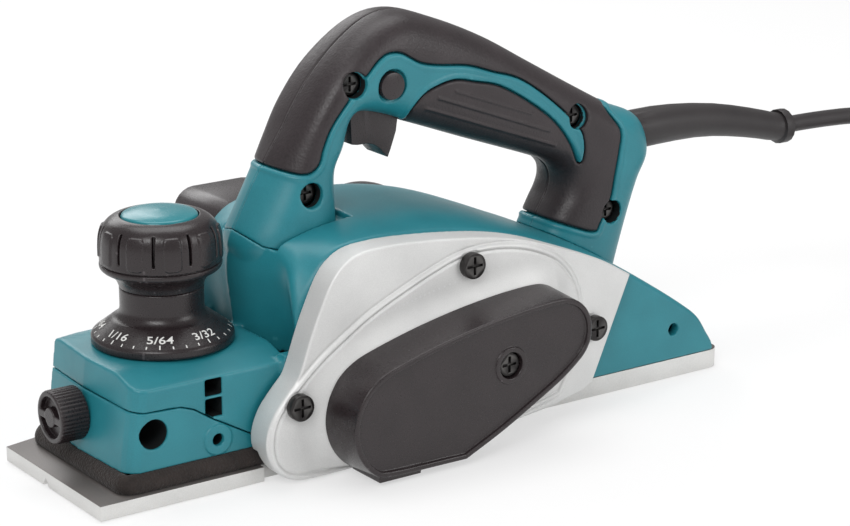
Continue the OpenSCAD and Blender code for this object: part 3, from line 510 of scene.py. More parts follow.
# %% Strap round the coil
strap = finish("woven_strap", (0.012, 0.012, 0.013), (0.035, 0.034, 0.035), 0.6, (0.8, 0.95), 0, 6,
    {"Sheen Weight": 0.3}, [("cells", 0.7, 0.35, EVEN), ("noise", 0.3, 0.1, EVEN)])
x0, x1 = COIL_X - COIL_R - CORD_D / 2 - 1, COIL_X - COIL_R + COIL_STEP * LAYER_TURNS + CORD_D / 2 + 1.6
band_mid, band_half = ((x0 + x1) / 2, 17.6), ((x1 - x0) / 2, 16.7)
rings = []
outside = [(-6, 0.35), (-5.6, 0.6), (-3, 0.62), (0, 0.58), (3, 0.62), (5.6, 0.6), (6, 0.35)]
inside = [(6, -0.3), (5.6, -0.55), (0, -0.55), (-5.6, -0.55), (-6, -0.3), (-6, 0.35)]
for along, grow in outside + inside:
    ring = oblong(band_half[0] + grow, band_half[1] + grow, 0.3, 64)
    rings.append([((band_mid[0] + u) * MM, (COIL_Y + along) * MM, (band_mid[1] + v) * MM) for u, v in ring])
coil_strap = add_piece("coil_strap", *loft(rings, False), strap, "casing", ["coil_tie"], "rubber_skin")
print("cord, plug and strap")

# %% [markdown]
# ## Moulded shells as fields of distance
# The handle, the body and the covers are moulded: soft lofted forms with grooves, lips and sunk screw
# holes, which are hard to bevel by hand. Here such a form is a block of sample points that hold the
# distance to its surface. Grooves and holes are simple sums and comparisons of distances, every edge can
# be rounded by blending two of them, and the finished surface is drawn through the points at zero.

# %% A bench of sample points
class Bench:
    """A box of sample points in mm. Fields on it are negative inside a form and positive outside."""
    def __init__(self, low, high, step):
        self.step = step
        self.low = np.floor(np.array(low) / step).astype(int)
        self.count = np.ceil(np.array(high) / step).astype(int) - self.low + 1
        x, y, z = [((self.low[i] + np.arange(self.count[i])) * step).astype(np.float32) for i in range(3)]
        self.x, self.y, self.z = x[:, None, None], y[None, :, None], z[None, None, :]

    def of_loft(self, rings, band):
        n = len(rings[0])
        verts, faces = loft(rings, False)
        last = (len(rings) - 1) * n
        caps = [(0, j + 1, j) for j in range(1, n - 1)]
        caps += [(last, last + j, last + j + 1) for j in range(1, n - 1)]
        grid = openvdb.FloatGrid.createLevelSetFromPolygons(np.array(verts, np.float32),
            triangles=np.array(caps, np.uint32), quads=np.array(faces, np.uint32),
            transform=openvdb.createLinearTransform(voxelSize=self.step), halfWidth=band / self.step)
        field = np.empty(tuple(self.count), np.float32)
        grid.copyToArray(field, ijk=tuple(int(k) for k in self.low))
        return field

    def draw(self, name, field, material, body, replaced=(), slot=None, shade=None):
        field = np.array(np.broadcast_to(field, tuple(self.count)), np.float32)
        for axis in range(3):
            edge = [slice(None)] * 3
            for end in (0, -1):
                edge[axis] = end
                field[tuple(edge)] = np.maximum(field[tuple(edge)], self.step)
        grid = openvdb.FloatGrid(3 * self.step)
        grid.copyFromArray(np.clip(field, -3 * self.step, 3 * self.step))
        points, tris, quads = grid.convertToPolygons(adaptivity=0)
        points = (points + self.low) * self.step * MM
        a, b, c = (points[quads[:, i]] for i in (0, 1, 2))
        inward = np.einsum("ij,ij->", np.cross(b - a, c - a), a - points.mean(0)) < 0
        faces = [tuple(f[::-1] if inward else f) for f in quads.tolist()]
        faces += [tuple(f[::-1] if inward else f) for f in tris.tolist()]
        o = add_piece(name, points.tolist(), faces, material, body, replaced, slot, smooth=False)
        o.data.polygons.foreach_set("use_smooth", np.ones(len(o.data.polygons), bool))
        # Faces that shade picks, inside deep holes, get the near-black painted shade as a second finish.
        if shade:
            middle = np.empty(3 * len(o.data.polygons), np.float32)
            o.data.polygons.foreach_get("center", middle)
            o.data.materials.append(finishes["painted_hole_shade"])
            painted_shade_faces = shade(*(middle.reshape(-1, 3).T / MM))
            o.data.polygons.foreach_set("material_index", painted_shade_faces.astype(np.int32))
        print(name, "faces:", len(faces))
        return o

print("bench ready")

# %% Blends between two forms
def meet(a, b, r=0.0):
    """The part that two forms share, with its edge rounded by about r."""
    if not r:
        return np.maximum(a, b)
    h = np.maximum(r - np.abs(a - b), 0) / r
    return np.maximum(a, b) + h * h * r / 4

def join(a, b, r=0.0):
    return -meet(-a, -b, r)

def cut(a, b, r=0.0):
    return meet(a, -b, r)

print("field 1 mm inside two walls with an edge rounded by 2 mm:", meet(-1.0, -1.0, 2.0))

# %% Outlines and simple forms
def outline_field(points, u, v):
    """Signed distance to a closed outline, negative inside, for flat arrays u and v."""
    best, inside = np.float32(1e9), np.zeros(np.broadcast(u, v).shape, bool)
    p = np.array(points, np.float32)
    for a, b in zip(p, np.roll(p, -1, 0)):
        e = b - a
        t = np.clip(((u - a[0]) * e[0] + (v - a[1]) * e[1]) / max(e @ e, 1e-9), 0, 1)
        best = np.minimum(best, (u - a[0] - t * e[0]) ** 2 + (v - a[1] - t * e[1]) ** 2)
        if a[1] != b[1]:
            inside ^= ((a[1] > v) != (b[1] > v)) & (u < e[0] * (v - a[1]) / e[1] + a[0])
    return np.where(inside, -1, 1).astype(np.float32) * np.sqrt(best)

def line_field(points, u, v):
    """Distance to an open line."""
    best = np.float32(1e9)
    p = np.array(points, np.float32)
    for a, b in zip(p[:-1], p[1:]):
        e = b - a
        t = np.clip(((u - a[0]) * e[0] + (v - a[1]) * e[1]) / max(e @ e, 1e-9), 0, 1)
        best = np.minimum(best, (u - a[0] - t * e[0]) ** 2 + (v - a[1] - t * e[1]) ** 2)
    return np.sqrt(best)

def closed_flow(points, steps):
    """A smooth closed line through the points."""
    p = [tuple(q) for q in points]
    return flow(p[-2:] + p + p[:3], steps)[2 * steps:(2 + len(p)) * steps]

def box_field(b, low, high):
    d = [np.maximum(lo - c, c - hi) for lo, hi, c in zip(low, high, (b.x, b.y, b.z))]
    return np.maximum(np.maximum(d[0], d[1]), d[2])

def bar_y(b, x, z, y0, y1, r):
    return np.maximum(np.hypot(b.x - x, b.z - z) - r, np.maximum(y0 - b.y, b.y - y1))

def bar_x(b, y, z, x0, x1, r):
    return np.maximum(np.hypot(b.y - y, b.z - z) - r, np.maximum(x0 - b.x, b.x - x1))

def bar_z(b, x, y, z0, z1, r):
    return np.maximum(np.hypot(b.x - x, b.y - y) - r, np.maximum(z0 - b.z, b.z - z1))

def plate_field(b, points, y0, y1):
    return np.maximum(outline_field(points, b.x, b.z), np.maximum(y0 - b.y, b.y - y1))

print("field helpers ready")

# %% [markdown]
# ## Body form
# The body's back is a hump that runs down to the rear. Its height along the middle and along the sides
# comes from a list of sections, and the crown between them is a flat arch. In front it ends in a prow: a
# ridge in the middle, below the handle, with a hollow on both sides of it. Cross sections could be skinned
# instead, but with a height for every place the handle can be trimmed by the same form, so that it sits
# on the body without a gap.

# %% Height of the body's back
body_sections = [(-80, 16, 79), (-74, 28, 81), (-70, 36, 82.5), (-66, 44, 80), (-62.5, 51, 80.4),
    (-60, 56, 80.8), (-53, 69, 81.4), (-47, 77, 82.4), (-39, 81.2, 84), (-26, 82, 85.6),
    (-10, 81, 85.6), (5, 79.4, 84.8), (20, 77, 81.8), (33, 73.6, 77.8), (48, 68.4, 71.8), (61, 63.3, 66.2),
    (76, 57.2, 59.6), (92, 48.5, 50.6), (108, 38.5, 40.5), (122, 29, 31), (130, 22.5, 25),
    (135, 15, 19), (138, 10.5, 12.5), (141, 4, 6)]
body_line = flow(body_sections, 8)
BODY_W, SILL_Z = 38.0, 7.65
ridge_line = flow([(30, -62.6), (46, -63.3), (54, -64.3), (62, -65.4), (68, -65.9), (74, -65.2), (80, -63.3),
    (92, -59)], 6)
prow_line = flow([(0, 0), (5, 2.6), (12, 6.0), (20, 8.6), (27, 8.8), (33, 6.5), (38, 3.2), (44, -2)], 6)

def body_field(b):
    side = np.interp(b.x, body_line[:, 0], body_line[:, 1]).astype(np.float32)
    crown = np.interp(b.x, body_line[:, 0], body_line[:, 2]).astype(np.float32) - side
    k = np.minimum(np.abs(b.y) / BODY_W, 1.15).astype(np.float32)
    back = side + crown * (1 - k ** 3.3)
    along = np.gradient(back, b.step, axis=0)
    across = np.gradient(back, b.step, axis=1)
    top = (b.z - back) / np.sqrt(1 + along ** 2 + across ** 2)
    ridge = np.interp(b.z, ridge_line[:, 0], ridge_line[:, 1])
    recess = np.interp(np.abs(b.y), prow_line[:, 0], prow_line[:, 1])
    front = ((ridge + recess - b.x) * 0.9).astype(np.float32)
    walls = meet(meet(top, np.abs(b.y) - BODY_W, 2.0), front, 3.0)
    return meet(walls, np.maximum(SILL_Z - b.z, b.x - 138), 0.8)

post_foot = [(-16, 83.6), (-26, 83), (-32, 81.2), (-38, 80.4), (-43, 79), (-48, 77), (-53, 76.6),
    (-58, 78), (-62, 81.5), (-66, 86.5), (-75, 88), (-75, 20), (-16, 20)]

def below_post(b):
    """Below the line where the handle's front post stands on the body."""
    return outline_field(post_foot, b.x, b.z)

def post_column(b):
    """The room above that line which the post fills."""
    room = np.maximum(np.maximum(-80 - b.x, b.x + 23.4), np.abs(b.y) - 18.6)
    return np.maximum(room, -below_post(b))

print("sections of the back:", len(body_sections))

# %% [markdown]
# ## Handle
# The D handle is two moulded halves that meet on a seam in the middle plane. A soft rubber skin is
# moulded over each half, with three thin ribs for the thumb, and its edge runs in a narrow groove behind a
# low lip. The form could be modelled face by face and smoothed. It is lofted through twenty sections, each
# with an outer point, an inner point and a half width, so its whole flow is one short list.

# %% Loft the handle
handle_sections = [
    (-60.5, 70, -22, 72, 18.5), (-61.5, 78, -23, 80, 18.5), (-56.5, 88, -24, 90, 18),
    (-50, 100, -24, 102, 17), (-44, 112, -20.5, 110, 17), (-36, 126, -18, 119, 17),
    (-24, 141, -13, 121, 17), (-8, 153, -3, 118.5, 17),
    (7, 156.3, 6, 115, 17), (25, 151, 19, 110.2, 17), (46, 141.8, 37.5, 103.2, 17), (66, 130.5, 55, 96.8, 17),
    (88, 118, 69, 91.6, 17), (107, 107.6, 77, 88.2, 17), (121, 101, 81.4, 83.6, 17), (126, 88, 82.3, 79, 17),
    (121, 77, 81, 74, 17), (117, 66, 77.5, 68.5, 17), (112, 50, 71, 57, 17), (108, 36, 66, 44, 17)]
FULLNESS = 0.72

def handle_ring(s, count=64):
    outer, inner, w = np.array(s[0:2]), np.array(s[2:4]), s[4]
    a = np.linspace(0, 2 * np.pi, count, endpoint=False)
    u, v = (np.sign(k) * np.abs(k) ** FULLNESS for k in (np.cos(a), np.sin(a)))
    p = (outer + inner) / 2 + np.outer(u, (outer - inner) / 2)
    front = np.clip((118 - outer[1]) / 20, 0, 1) * np.clip(-outer[0] / 30, 0, 1)
    p[:, 0] -= front * np.maximum(u, 0) * (5.0 * (1 - np.abs(v)) - 1.5)
    return np.c_[p[:, 0], w * v, p[:, 1]].tolist()

handle_bench = Bench((-66, -20, 34), (130, 20, 159), 0.5)
handle_rings = [handle_ring(s) for s in flow(handle_sections, 6)]
handle_solid = handle_bench.of_loft(handle_rings, 7.0)
print("handle samples:", handle_solid.size, "inside:", int((handle_solid < 0).sum()))

# %% Outline of the rubber skin and its ribs
grip_edge = [
    (-70, 112), (-57, 107.5), (-51, 105), (-44, 103), (-39, 103), (-35, 106), (-33, 112), (-28, 121),
    (-14, 136), (-7, 142), (-2, 143), (2, 142), (9, 138), (17, 136), (31, 134), (43, 130), (55, 126),
    (66, 119), (78, 109), (86, 100), (87, 88), (81, 97), (72.6, 107.4), (60, 117), (46, 125), (35, 128),
    (26, 130), (18, 129), (11, 126), (7, 120), (8, 113), (8, 108), (56, 90), (60, 84), (50, 74), (58, 72),
    (81, 63), (93, 59), (96, 62), (101, 71), (103, 80), (105, 90), (106, 99), (101, 108), (106, 118),
    (10, 175), (-60, 140)]
screw_holes = [(-19, 133), (-39, 95), (84, 107), (102, 66)]
BUTTON, PIVOT, GUARD_Z = (-3, 131), (-11.5, 125), 93.0
SKIN, SHELL = 2.4, 5.4
grip_flat = outline_field(closed_flow(grip_edge, 4), handle_bench.x, handle_bench.z)
inside_body = cut(body_field(handle_bench), post_column(handle_bench)) - 0.1
inside_body = join(inside_body, below_post(handle_bench) - 0.2)
ribs = [[(25.4, 125.3), (61.1, 111.7)], [(17.5, 123.7), (69.9, 103.7)], [(12.9, 120), (73.1, 97.4)]]
rib_high = 0.0
for line in ribs:
    away = line_field(line, handle_bench.x, handle_bench.z)
    rib_high = np.maximum(rib_high, 0.55 * np.clip(1 - (away / 0.8) ** 2, 0, 1))
print("highest rib in mm:", round(float(rib_high.max()), 2))

# %% Holes in the handle
def handle_holes(side):
    holes = box_field(handle_bench, (-18, -7.4, 95), (8.6, 7.4, 129.2))
    holes = join(holes, bar_x(handle_bench, 0, GUARD_Z, 107.5, 140, 7.95))
    holes = join(holes, bar_x(handle_bench, 0, GUARD_Z, 111.9, 115.1, 10.05))
    holes = join(holes, bar_y(handle_bench, *PIVOT, -11, 11, 1.6))
    if side < 0:
        for x, z in screw_holes:
            holes = join(holes, bar_y(handle_bench, x, z, -40, -9, 4.7))
        holes = join(holes, bar_y(handle_bench, *BUTTON, -40, -14.6, 6.3))
        holes = join(holes, bar_y(handle_bench, *BUTTON, -40, -4, 5.3))
        holes = join(holes, bar_y(handle_bench, *BUTTON, -12.6, -4, 7.4))
    return holes

# Faces inside the handle's screw holes, which are given painted shade.
def in_screw_hole(x, y, z):
    near = np.min([np.hypot(x - a, z - c) for a, c in screw_holes], axis=0)
    return (near < 4.75) & (np.abs(y) < 15.5)

print("screw holes in the left half:", len(screw_holes))

# %% Shells and rubber skins
for side, name in ((-1, "left"), (1, "right")):
    holes = handle_holes(side)
    half = 0.04 - side * handle_bench.y
    lip = 0.45 * np.clip(1 - np.abs(grip_flat - 1.2) / 1.2, 0, 1)
    teal = meet(handle_solid - lip, half, 0.7)
    teal = cut(teal, np.maximum(grip_flat, -(handle_solid + SKIN)), 0.5)
    teal = cut(cut(teal, handle_solid + SHELL), holes, 0.5)
    teal = cut(teal, inside_body)
    handle_bench.draw(f"handle_shell_{name}", teal, finishes["teal_plastic"], "casing", [f"handle_{name}"],
        "teal_plastic", in_screw_hole)
    skin = meet(meet(handle_solid - rib_high, grip_flat + 0.55, 1.2), half, 0.7)
    skin = np.maximum(skin, -(handle_solid + SKIN - 0.05))
    skin = cut(cut(skin, holes - 0.4, 0.6), inside_body - 0.5)
    handle_bench.draw(f"rubber_skin_{name}", skin, finishes["rubber_skin"], "casing", [f"grip_{name}"],
        "rubber_skin")

# %% [markdown]
# ## Body shell and front block
# One moulding holds the motor, the cutter chamber and the deck under the knob. The front block's lower
# part is a separate moulding, and the line between them runs down towards the cutter. Both come from one
# block form, split along that line with a small shadow gap. Meshes could be cut from each other instead,
# but such cuts leave sharp corners, and here every cut is rounded as it is made.

# %% Block form and parting line
DRUM, MOTOR, KNOB_X, FENCE = (-32.5, 24.0), (33.0, 39.5), -93.0, (-118.0, 25.5)
SMALL_HOLE, GUIDE_PINS = (-92.5, 18.4), ((-76, -22), (-76, 22))
DECK_Z, BLOCK_LOW, PARTING_GAP = 46, 12.3, 0.18
block_plan = [(-128.5, -2), (-127.3, -31.2), (-126.5, -33.5), (-125, -35.3), (-122.4, -36.5), (-62, -36.5),
    (-62, 36.5), (-96, 36.5), (-112, 33), (-126, 26)]
parting = [(-150, -10), (-150, 35), (-128, 35), (-122.6, 34), (-107, 33.3), (-101.5, 31.3), (-94.4, 26.5),
    (-77, 16.6), (-69.5, BLOCK_LOW), (-69.5, -10)]
side_screws = [(-67, 29.5), (8.2, 69), (70.2, 31.9)]

def block_field(b):
    lean = np.clip((b.z - 26) * 0.135, -1.9, 2.6) * np.clip((-110 - b.x) / 12, 0, 1)
    plan = outline_field(block_plan, b.x - lean, b.y)
    shoulder = (b.z - DECK_Z + (np.abs(b.y) - 22) * 0.276) * 0.964
    walls = meet(plan, shoulder, 0.9)
    return meet(meet(walls, b.z - DECK_Z, 1.0), BLOCK_LOW - b.z, 0.4)

def lower_field(b):
    return outline_field(parting, b.x, b.z)

print("block plan:", len(block_plan), "points, parting line:", len(parting))

# %% Hollows in the body
duct = [(-34, 37), (-12, 37), (-5.6, 39.6), (-3, 46), (-3, 68), (-5.6, 74.4), (-12, 77), (-34, 77),
    (-40.4, 74.4), (-43, 68), (-43, 46), (-40.4, 39.6)]
tail_room = [(76, 0), (76, 52), (90, 44), (106, 34), (120, 25), (128, 17), (132, 9), (132, 0)]

def body_hollows(b):
    h = bar_y(b, *DRUM, -60, 41.6, 26.5)
    h = join(h, box_field(b, (-59, -60, -1), (-12, 41.6, 20)))
    h = join(h, box_field(b, (-70, -60, 0), (-57, 41.4, BLOCK_LOW)))
    h = join(h, bar_y(b, *DRUM, 41, 51, 13))
    h = join(h, box_field(b, (-40, -28, 41), (-6, 56, 74)))
    h = join(h, bar_y(b, *MOTOR, -60, 59, 28.2))
    h = join(h, bar_x(b, 41, MOTOR[1], 0, 66, 5.6))
    h = join(h, plate_field(b, tail_room, -33, 33))
    h = join(h, bar_z(b, KNOB_X, 0, 0, 42.3, 17.5))
    h = join(h, bar_z(b, KNOB_X, 0, 0, 60, 6.05))
    for x, y in GUIDE_PINS:
        h = join(h, bar_z(b, x, y, 0, 41, 3.6))
    for z0, z1 in ((27, 34), (35, 41.3)):
        h = join(h, box_field(b, (-97, -40, z0), (-90, -16, z1)))
    for x, z in side_screws:
        h = join(h, bar_y(b, x, z, -50, -26, 2.25))
    return join(h, bar_y(b, 117, 20, -50, -30, 2.5))

print("corners of the chip duct:", len(duct))

# %% Body shell
body_bench = Bench((-131, -40, 5), (141, 63, 94), 0.6)
post = meet(body_bench.of_loft(handle_rings, 7.0), below_post(body_bench), 0.5)
body = join(cut(body_field(body_bench), post_column(body_bench), 0.5), post)
body = join(body, cut(block_field(body_bench), lower_field(body_bench) - PARTING_GAP, 0.5), 1.5)
body = join(body, box_field(body_bench, (-64.8, -37.9, 20), (-57, -34, 44.6)), 3.0)
body = join(body, meet(bar_y(body_bench, *MOTOR, 30, 58, 31.5), body_bench.y - 58, 1.0), 2.0)
body = join(body, plate_field(body_bench, closed_flow(duct, 4), 30, 46), 2.0)
cheek = join(bar_y(body_bench, *DRUM, 30, 46, 29.5), bar_y(body_bench, *DRUM, 44, 53, 16), 1.5)
under = box_field(body_bench, (-70, 30, -10), (0, 41.5, 12.6))
under = join(under, box_field(body_bench, (-70, 30, -10), (0, 60, 1)))
cheek = cut(cheek, under)
body = join(body, cheek, 1.5)
body = cut(body, body_hollows(body_bench), 0.35)
for x, y in ((20, -30), (20, 30), (98, -30), (98, 30)):
    body = join(body, bar_z(body_bench, x, y, SILL_Z, 13.6, 5))
    body = cut(body, bar_z(body_bench, x, y, 0, 13, 2.05))
for s in (-1, 1):
    body = join(body, box_field(body_bench, (116, 10.4 * s - 2, SILL_Z), (126, 10.4 * s + 2, 30)))

# Faces inside the small windows in the body's side, which are given painted shade.
def in_window(x, y, z):
    return (np.abs(x + 93.5) < 3.8) & (y > -35.8) & (y < -12) & (np.abs(z - 34) < 7.4)

body_bench.draw("body_shell", body, finishes["teal_plastic"], "casing", ["main_housing"], "teal_plastic",
    in_window)

# %% Lower front moulding
lower_bench = Bench((-131, -40, 11), (-60, 40, 38), 0.46)
front = cut(block_field(lower_bench), -(lower_field(lower_bench) + PARTING_GAP), 0.5)
front = join(front, bar_y(lower_bench, *SMALL_HOLE, -37.3, -30, 5.5), 1.0)
holes = join(bar_z(lower_bench, KNOB_X, 0, 0, 60, 17.5), bar_y(lower_bench, *FENCE, -60, 60, 5.5))
holes = join(holes, bar_x(lower_bench, 0, FENCE[1], -140, -118, 3.1))
holes = join(holes, bar_y(lower_bench, *SMALL_HOLE, -60, -25, 2.25))
for x, y in GUIDE_PINS:
    holes = join(holes, bar_z(lower_bench, x, y, 0, 40, 4.1))

# Faces inside the fence bore and the small hole, which are given painted shade.
def in_bore(x, y, z):
    fence = np.hypot(x - FENCE[0], z - FENCE[1])
    small = np.hypot(x - SMALL_HOLE[0], z - SMALL_HOLE[1])
    return ((fence < 5.6) | (small < 2.4)) & (np.abs(y) < 35.6)

lower_bench.draw("lower_front_shell", cut(front, holes, 0.5), finishes["teal_plastic"], "casing",
    ["front_lower_housing"], "teal_plastic", in_bore)

# %% [markdown]
# ## Side plate
# The drive side is closed by a painted casting with a crisp rim. A thin raised bead follows the rim round
# the front and then sweeps over the face to the top. Below the bead the face swells towards the belt
# cover, and above it the face lies a little lower. The bead could be a tube laid on a flat plate. Here the
# height of the face is one sum of gentle steps, so the bead runs softly into it, as it does under paint.

# %% Outlines of the side plate and the belt cover
front_rim = flow([(-45, 0.9), (-52, 0.8), (-60.5, 0.7), (-66, 1.0), (-71, 2.6), (-74.9, 5.4), (-77.7, 9.2),
    (-79.3, 13.2), (-79.9, 17), (-79.4, 20.8), (-78, 24.6), (-76, 28.2), (-73.2, 31.6), (-70, 35),
    (-66.9, 38.3), (-64.8, 42.6), (-62.6, 48.6), (-60.8, 53.4), (-57.8, 60.5), (-52.2, 71.8),
    (-46.7, 77.9), (-39.1, 81.3), (-26.5, 82), (-13.7, 81.3),
    (3.8, 79.5), (21.5, 76.7), (38.4, 72.2), (61, 63.6), (76, 57.0), (92, 48.1)], 5)
COVER_SCREW = (13.1, 34.3)
plate_edge = [tuple(p) for p in front_rim] + [(70.4, 9.4), (65.1, 7.7), (54.6, 6.6), (20, 2.5), (-8, 0.6)]
bead = flow([(-55, 2.8), (-60.5, 3.1), (-65, 3.4), (-69.7, 4.5), (-72.8, 6.4), (-75.4, 9.5), (-76.7, 13.3),
    (-77, 17.4), (-76.3, 21.8), (-74.7, 25.8), (-72, 29.6), (-66.3, 35.2), (-60.5, 40.4), (-54.4, 45.2),
    (-46, 50.6), (-34, 57.6), (-17, 65), (-4, 69.9), (4.3, 72.2), (13.6, 73.0), (24.7, 72.2), (36, 69.5),
    (47.4, 64.2), (55.7, 56.6), (60.2, 48.5), (61.8, 42)], 5)
panel = [tuple(p) for p in bead] + [(58, 22), (50, 11), (20, 5), (-40, 3)]
cover_edge = flow([(-7.3, 2.5), (-16.8, 2.6), (-26.3, 2.7), (-37, 2.9), (-44.4, 3.6), (-48, 5.6), (-51, 8.6),
    (-53.6, 12.6), (-55.2, 17), (-55.9, 21.6), (-55.4, 26.4), (-53.7, 31.6), (-49.9, 37.2), (-44, 41.4),
    (-36.9, 44), (-23.7, 47.6), (-10.2, 50.6), (3.4, 53.0), (17.2, 54.8), (27.7, 55.6), (34.8, 55.8),
    (39.4, 55.3), (43.7, 53.4), (47.2, 50.2), (49.3, 46.2), (50, 41.6), (49.2, 36.9), (47, 33), (43.7, 29.8),
    (38.6, 26), (31.6, 21.7), (10.7, 10.6), (-7.3, 2.5)], 4)
print("side plate outline:", len(plate_edge), "points, belt cover outline:", len(cover_edge))

# %% Side plate
PLATE_FACE = -50.0
side_bench = Bench((-83, -63, -1), (95, -37, 84), 0.4)
rim = outline_field(plate_edge, side_bench.x, side_bench.z)
over = outline_field(panel, side_bench.x, side_bench.z)
near_cover = outline_field(cover_edge, side_bench.x, side_bench.z) - 1.4

def ridge_at(distance, place, width):
    return np.clip(1 - ((distance - place) / width) ** 2, 0, 1)

face = PLATE_FACE + 0.35 * np.clip(over / 2.5, 0, 1) - 0.55 * ridge_at(over, 1.1, 1.0)
face = face + 0.45 * ridge_at(over, -0.3, 0.55) + 0.3 * ridge_at(over, 2.6, 0.5)
face = face - 2.4 * np.clip(1 - near_cover / 9.0, 0, 1) ** 2 * (over < 0)
face = face + np.clip((side_bench.x - 48) / 46, 0, 1) * 9.5
plate = meet(rim + 0.02 * (side_bench.y + 38), (face - side_bench.y) * 0.97, 0.8)
plate = meet(plate, side_bench.y + 38.05, 0.3)
plate = join(plate, bar_y(side_bench, *COVER_SCREW, -62, -49, 5))
holes = box_field(side_bench, (-90, -41.3, -1), (-59, -30, BLOCK_LOW))
holes = join(holes, bar_y(side_bench, *DRUM, -41.8, -30, 25.5))
holes = join(holes, bar_y(side_bench, *DRUM, -60, -40, 13))
holes = join(holes, bar_y(side_bench, *MOTOR, -60, -40, 11))
holes = join(holes, bar_y(side_bench, *MOTOR, -41.2, -30, 27))
for x, z in side_screws:
    holes = join(holes, bar_y(side_bench, x, z, -60, -30, 2.3))
    holes = join(holes, bar_y(side_bench, x, z, -60, PLATE_FACE if x < 60 else -45, 5.5))
holes = join(holes, bar_y(side_bench, *COVER_SCREW, -70, -45, 2.05))
side_bench.draw("side_casting", cut(plate, holes, 0.3), finishes["silver_casting"], "casing", ["side_plate"],
    "silver_casting")

# %% [markdown]
# ## Belt cover
# The cover over the drive belt is a deep moulding with a thin bead round its outer face. The face itself
# lies a little lower inside the bead and is plain, and its one screw sits in a round recess. An outline
# could be pulled up and bevelled, but in a field the bead, the face and the recess are rounded as they meet.

# %% Belt cover
COVER_FACE = -70
cover_bench = Bench((-59, -72, 0), (53, -49, 60), 0.35)
edge = outline_field(cover_edge, cover_bench.x, cover_bench.z)
cover = meet(edge - 0.07 * (cover_bench.y - COVER_FACE), COVER_FACE - cover_bench.y, 0.7)
cover = meet(cover, cover_bench.y + 50.05, 0.3)
cover = cut(cover, np.maximum(edge + 2.0, np.maximum(-80 - cover_bench.y, cover_bench.y + 68.7)), 0.4)
cover = cut(cover, np.maximum(edge + 2.4, np.maximum(-66.2 - cover_bench.y, cover_bench.y + 40)))
cover = join(cover, bar_y(cover_bench, *COVER_SCREW, -69.4, -62.2, 7))
cover = join(cover, box_field(cover_bench, (-45, -69, 1.2), (-27, -51, 5)), 0.6)
recess = bar_y(cover_bench, *COVER_SCREW, -80, -65, 5)
recess = join(recess, bar_y(cover_bench, *COVER_SCREW, -80, -60, 2.3))
cover = cut(cover, recess, 0.5)
cover_bench.draw("belt_cover_shell", cover, finishes["dark_plastic"], "casing", ["belt_cover"],
    "dark_plastic")

# %% [markdown]
# ## Depth knob
# The knob that sets the planing depth is turned as one profile round its axis, then ten pads are raised on
# it with a narrow slit between each pair, and a thin groove marks its lower edge. A bright cap closes the
# top. Below it the dial is a shallow cone with a straight neck. A spun mesh could carry the pads as loose
# pieces. In a field they grow out of the grip with a soft foot, as they do in a mould.

# %% Knob grip and cap
knob_bench = Bench((KNOB_X - 24, -24, 62), (KNOB_X + 24, 24, 98), 0.35)
around = np.arctan2(knob_bench.y, knob_bench.x - KNOB_X)
reach = np.hypot(knob_bench.x - KNOB_X, knob_bench.y)
grip_side = flow([(15.4, 67.4), (16.2, 69.4), (17.4, 71), (19.3, 72.4), (21.2, 73.5), (22.1, 74.6),
    (22.15, 76), (22.0, 78.5), (21.95, 82.5), (21.6, 86.2), (20.6, 89.2), (18.7, 91.4),
    (16.4, 92.7), (14.3, 93.2)], 4)
grip_line = [(0, 66.9), (15.3, 66.9)] + [tuple(p) for p in grip_side] + [(0, 93.2)]
grip = outline_field(grip_line, reach, knob_bench.z)
PAD_STEP = math.radians(36)
off_pad = (around - PAD_STEP * np.round(around / PAD_STEP)) * reach
off_slit = (around - PAD_STEP * (np.floor(around / PAD_STEP) + 0.5)) * reach
inset_u, inset_v = np.abs(off_pad) - 1.6, np.abs(knob_bench.z - 83.6) - 4.4
pad = np.hypot(np.maximum(inset_u, 0), np.maximum(inset_v, 0)) - 1.5
grip = join(grip, np.maximum(pad, grip - 0.55), 0.35)
slit = np.maximum(np.maximum(np.abs(off_slit) - 0.5, np.abs(knob_bench.z - 84.6) - 5.4), 18.6 - reach)
grip = cut(grip, slit, 0.3)
grip = cut(grip, np.maximum(np.abs(knob_bench.z - 76.3) - 0.28, 21.3 - reach), 0.2)
grip = cut(grip, np.maximum(reach - 14.25, 89.4 - knob_bench.z), 0.3)
grip = cut(grip, np.maximum(reach - 4.1, knob_bench.z - 90))
knob_bench.draw("knob_grip_skin", grip, finishes["dark_plastic"], "depth_knob", ["knob_grip"], "dark_plastic")
cap_top = flow([(13.95, 92.6), (13.5, 93.4), (12.4, 93.9), (8, 94.7), (0, 95.1)], 4)
cap_line = [(0, 89.5), (13.95, 89.5)] + [tuple(p) for p in cap_top]
gloss = finish("teal_cap", (0.012, 0.19, 0.225), (0.018, 0.225, 0.262), 0.6, (0.2, 0.28),
    reliefs=[("noise", 8, 0.05, EVEN)])
cap = outline_field(cap_line, reach, knob_bench.z)
knob_bench.draw("knob_cap_disc", cap, gloss, "depth_knob", ["knob_cap"], "teal_plastic")

# %% Dial ring
dial_bench = Bench((KNOB_X - 27, -27, 45), (KNOB_X + 27, 27, 68), 0.35)
reach = np.hypot(dial_bench.x - KNOB_X, dial_bench.y)
neck = [math.radians(a) for a in range(250, 179, -10)]
dial_line = [(0, 46.3), (25.6, 46.3), (26, 46.8), (26, 49.1), (25.4, 49.9)]
dial_line += [(19.8 + 4.5 * math.cos(a), 59.5 + 4.5 * math.sin(a)) for a in neck]
dial_line += [(15.3, 66.85), (0, 66.85)]
dial = outline_field(dial_line, reach, dial_bench.z)
dial = cut(dial, join(np.maximum(reach - 6.1, dial_bench.z - 51), reach - 4.1))
dial_bench.draw("dial_ring_cone", dial, finishes["dark_plastic"], "depth_knob", ["dial_ring"], "dark_plastic")

# %% [markdown]
# ## Marks on the dial
# White ticks stand every quarter of a step, with a long one at every whole step. Seven of the eight long
# ticks have a plain number above them. All are thin printed shapes, bent onto the cone a hair above it.
# An image on the cone could show them too, but shapes stay sharp from close by.

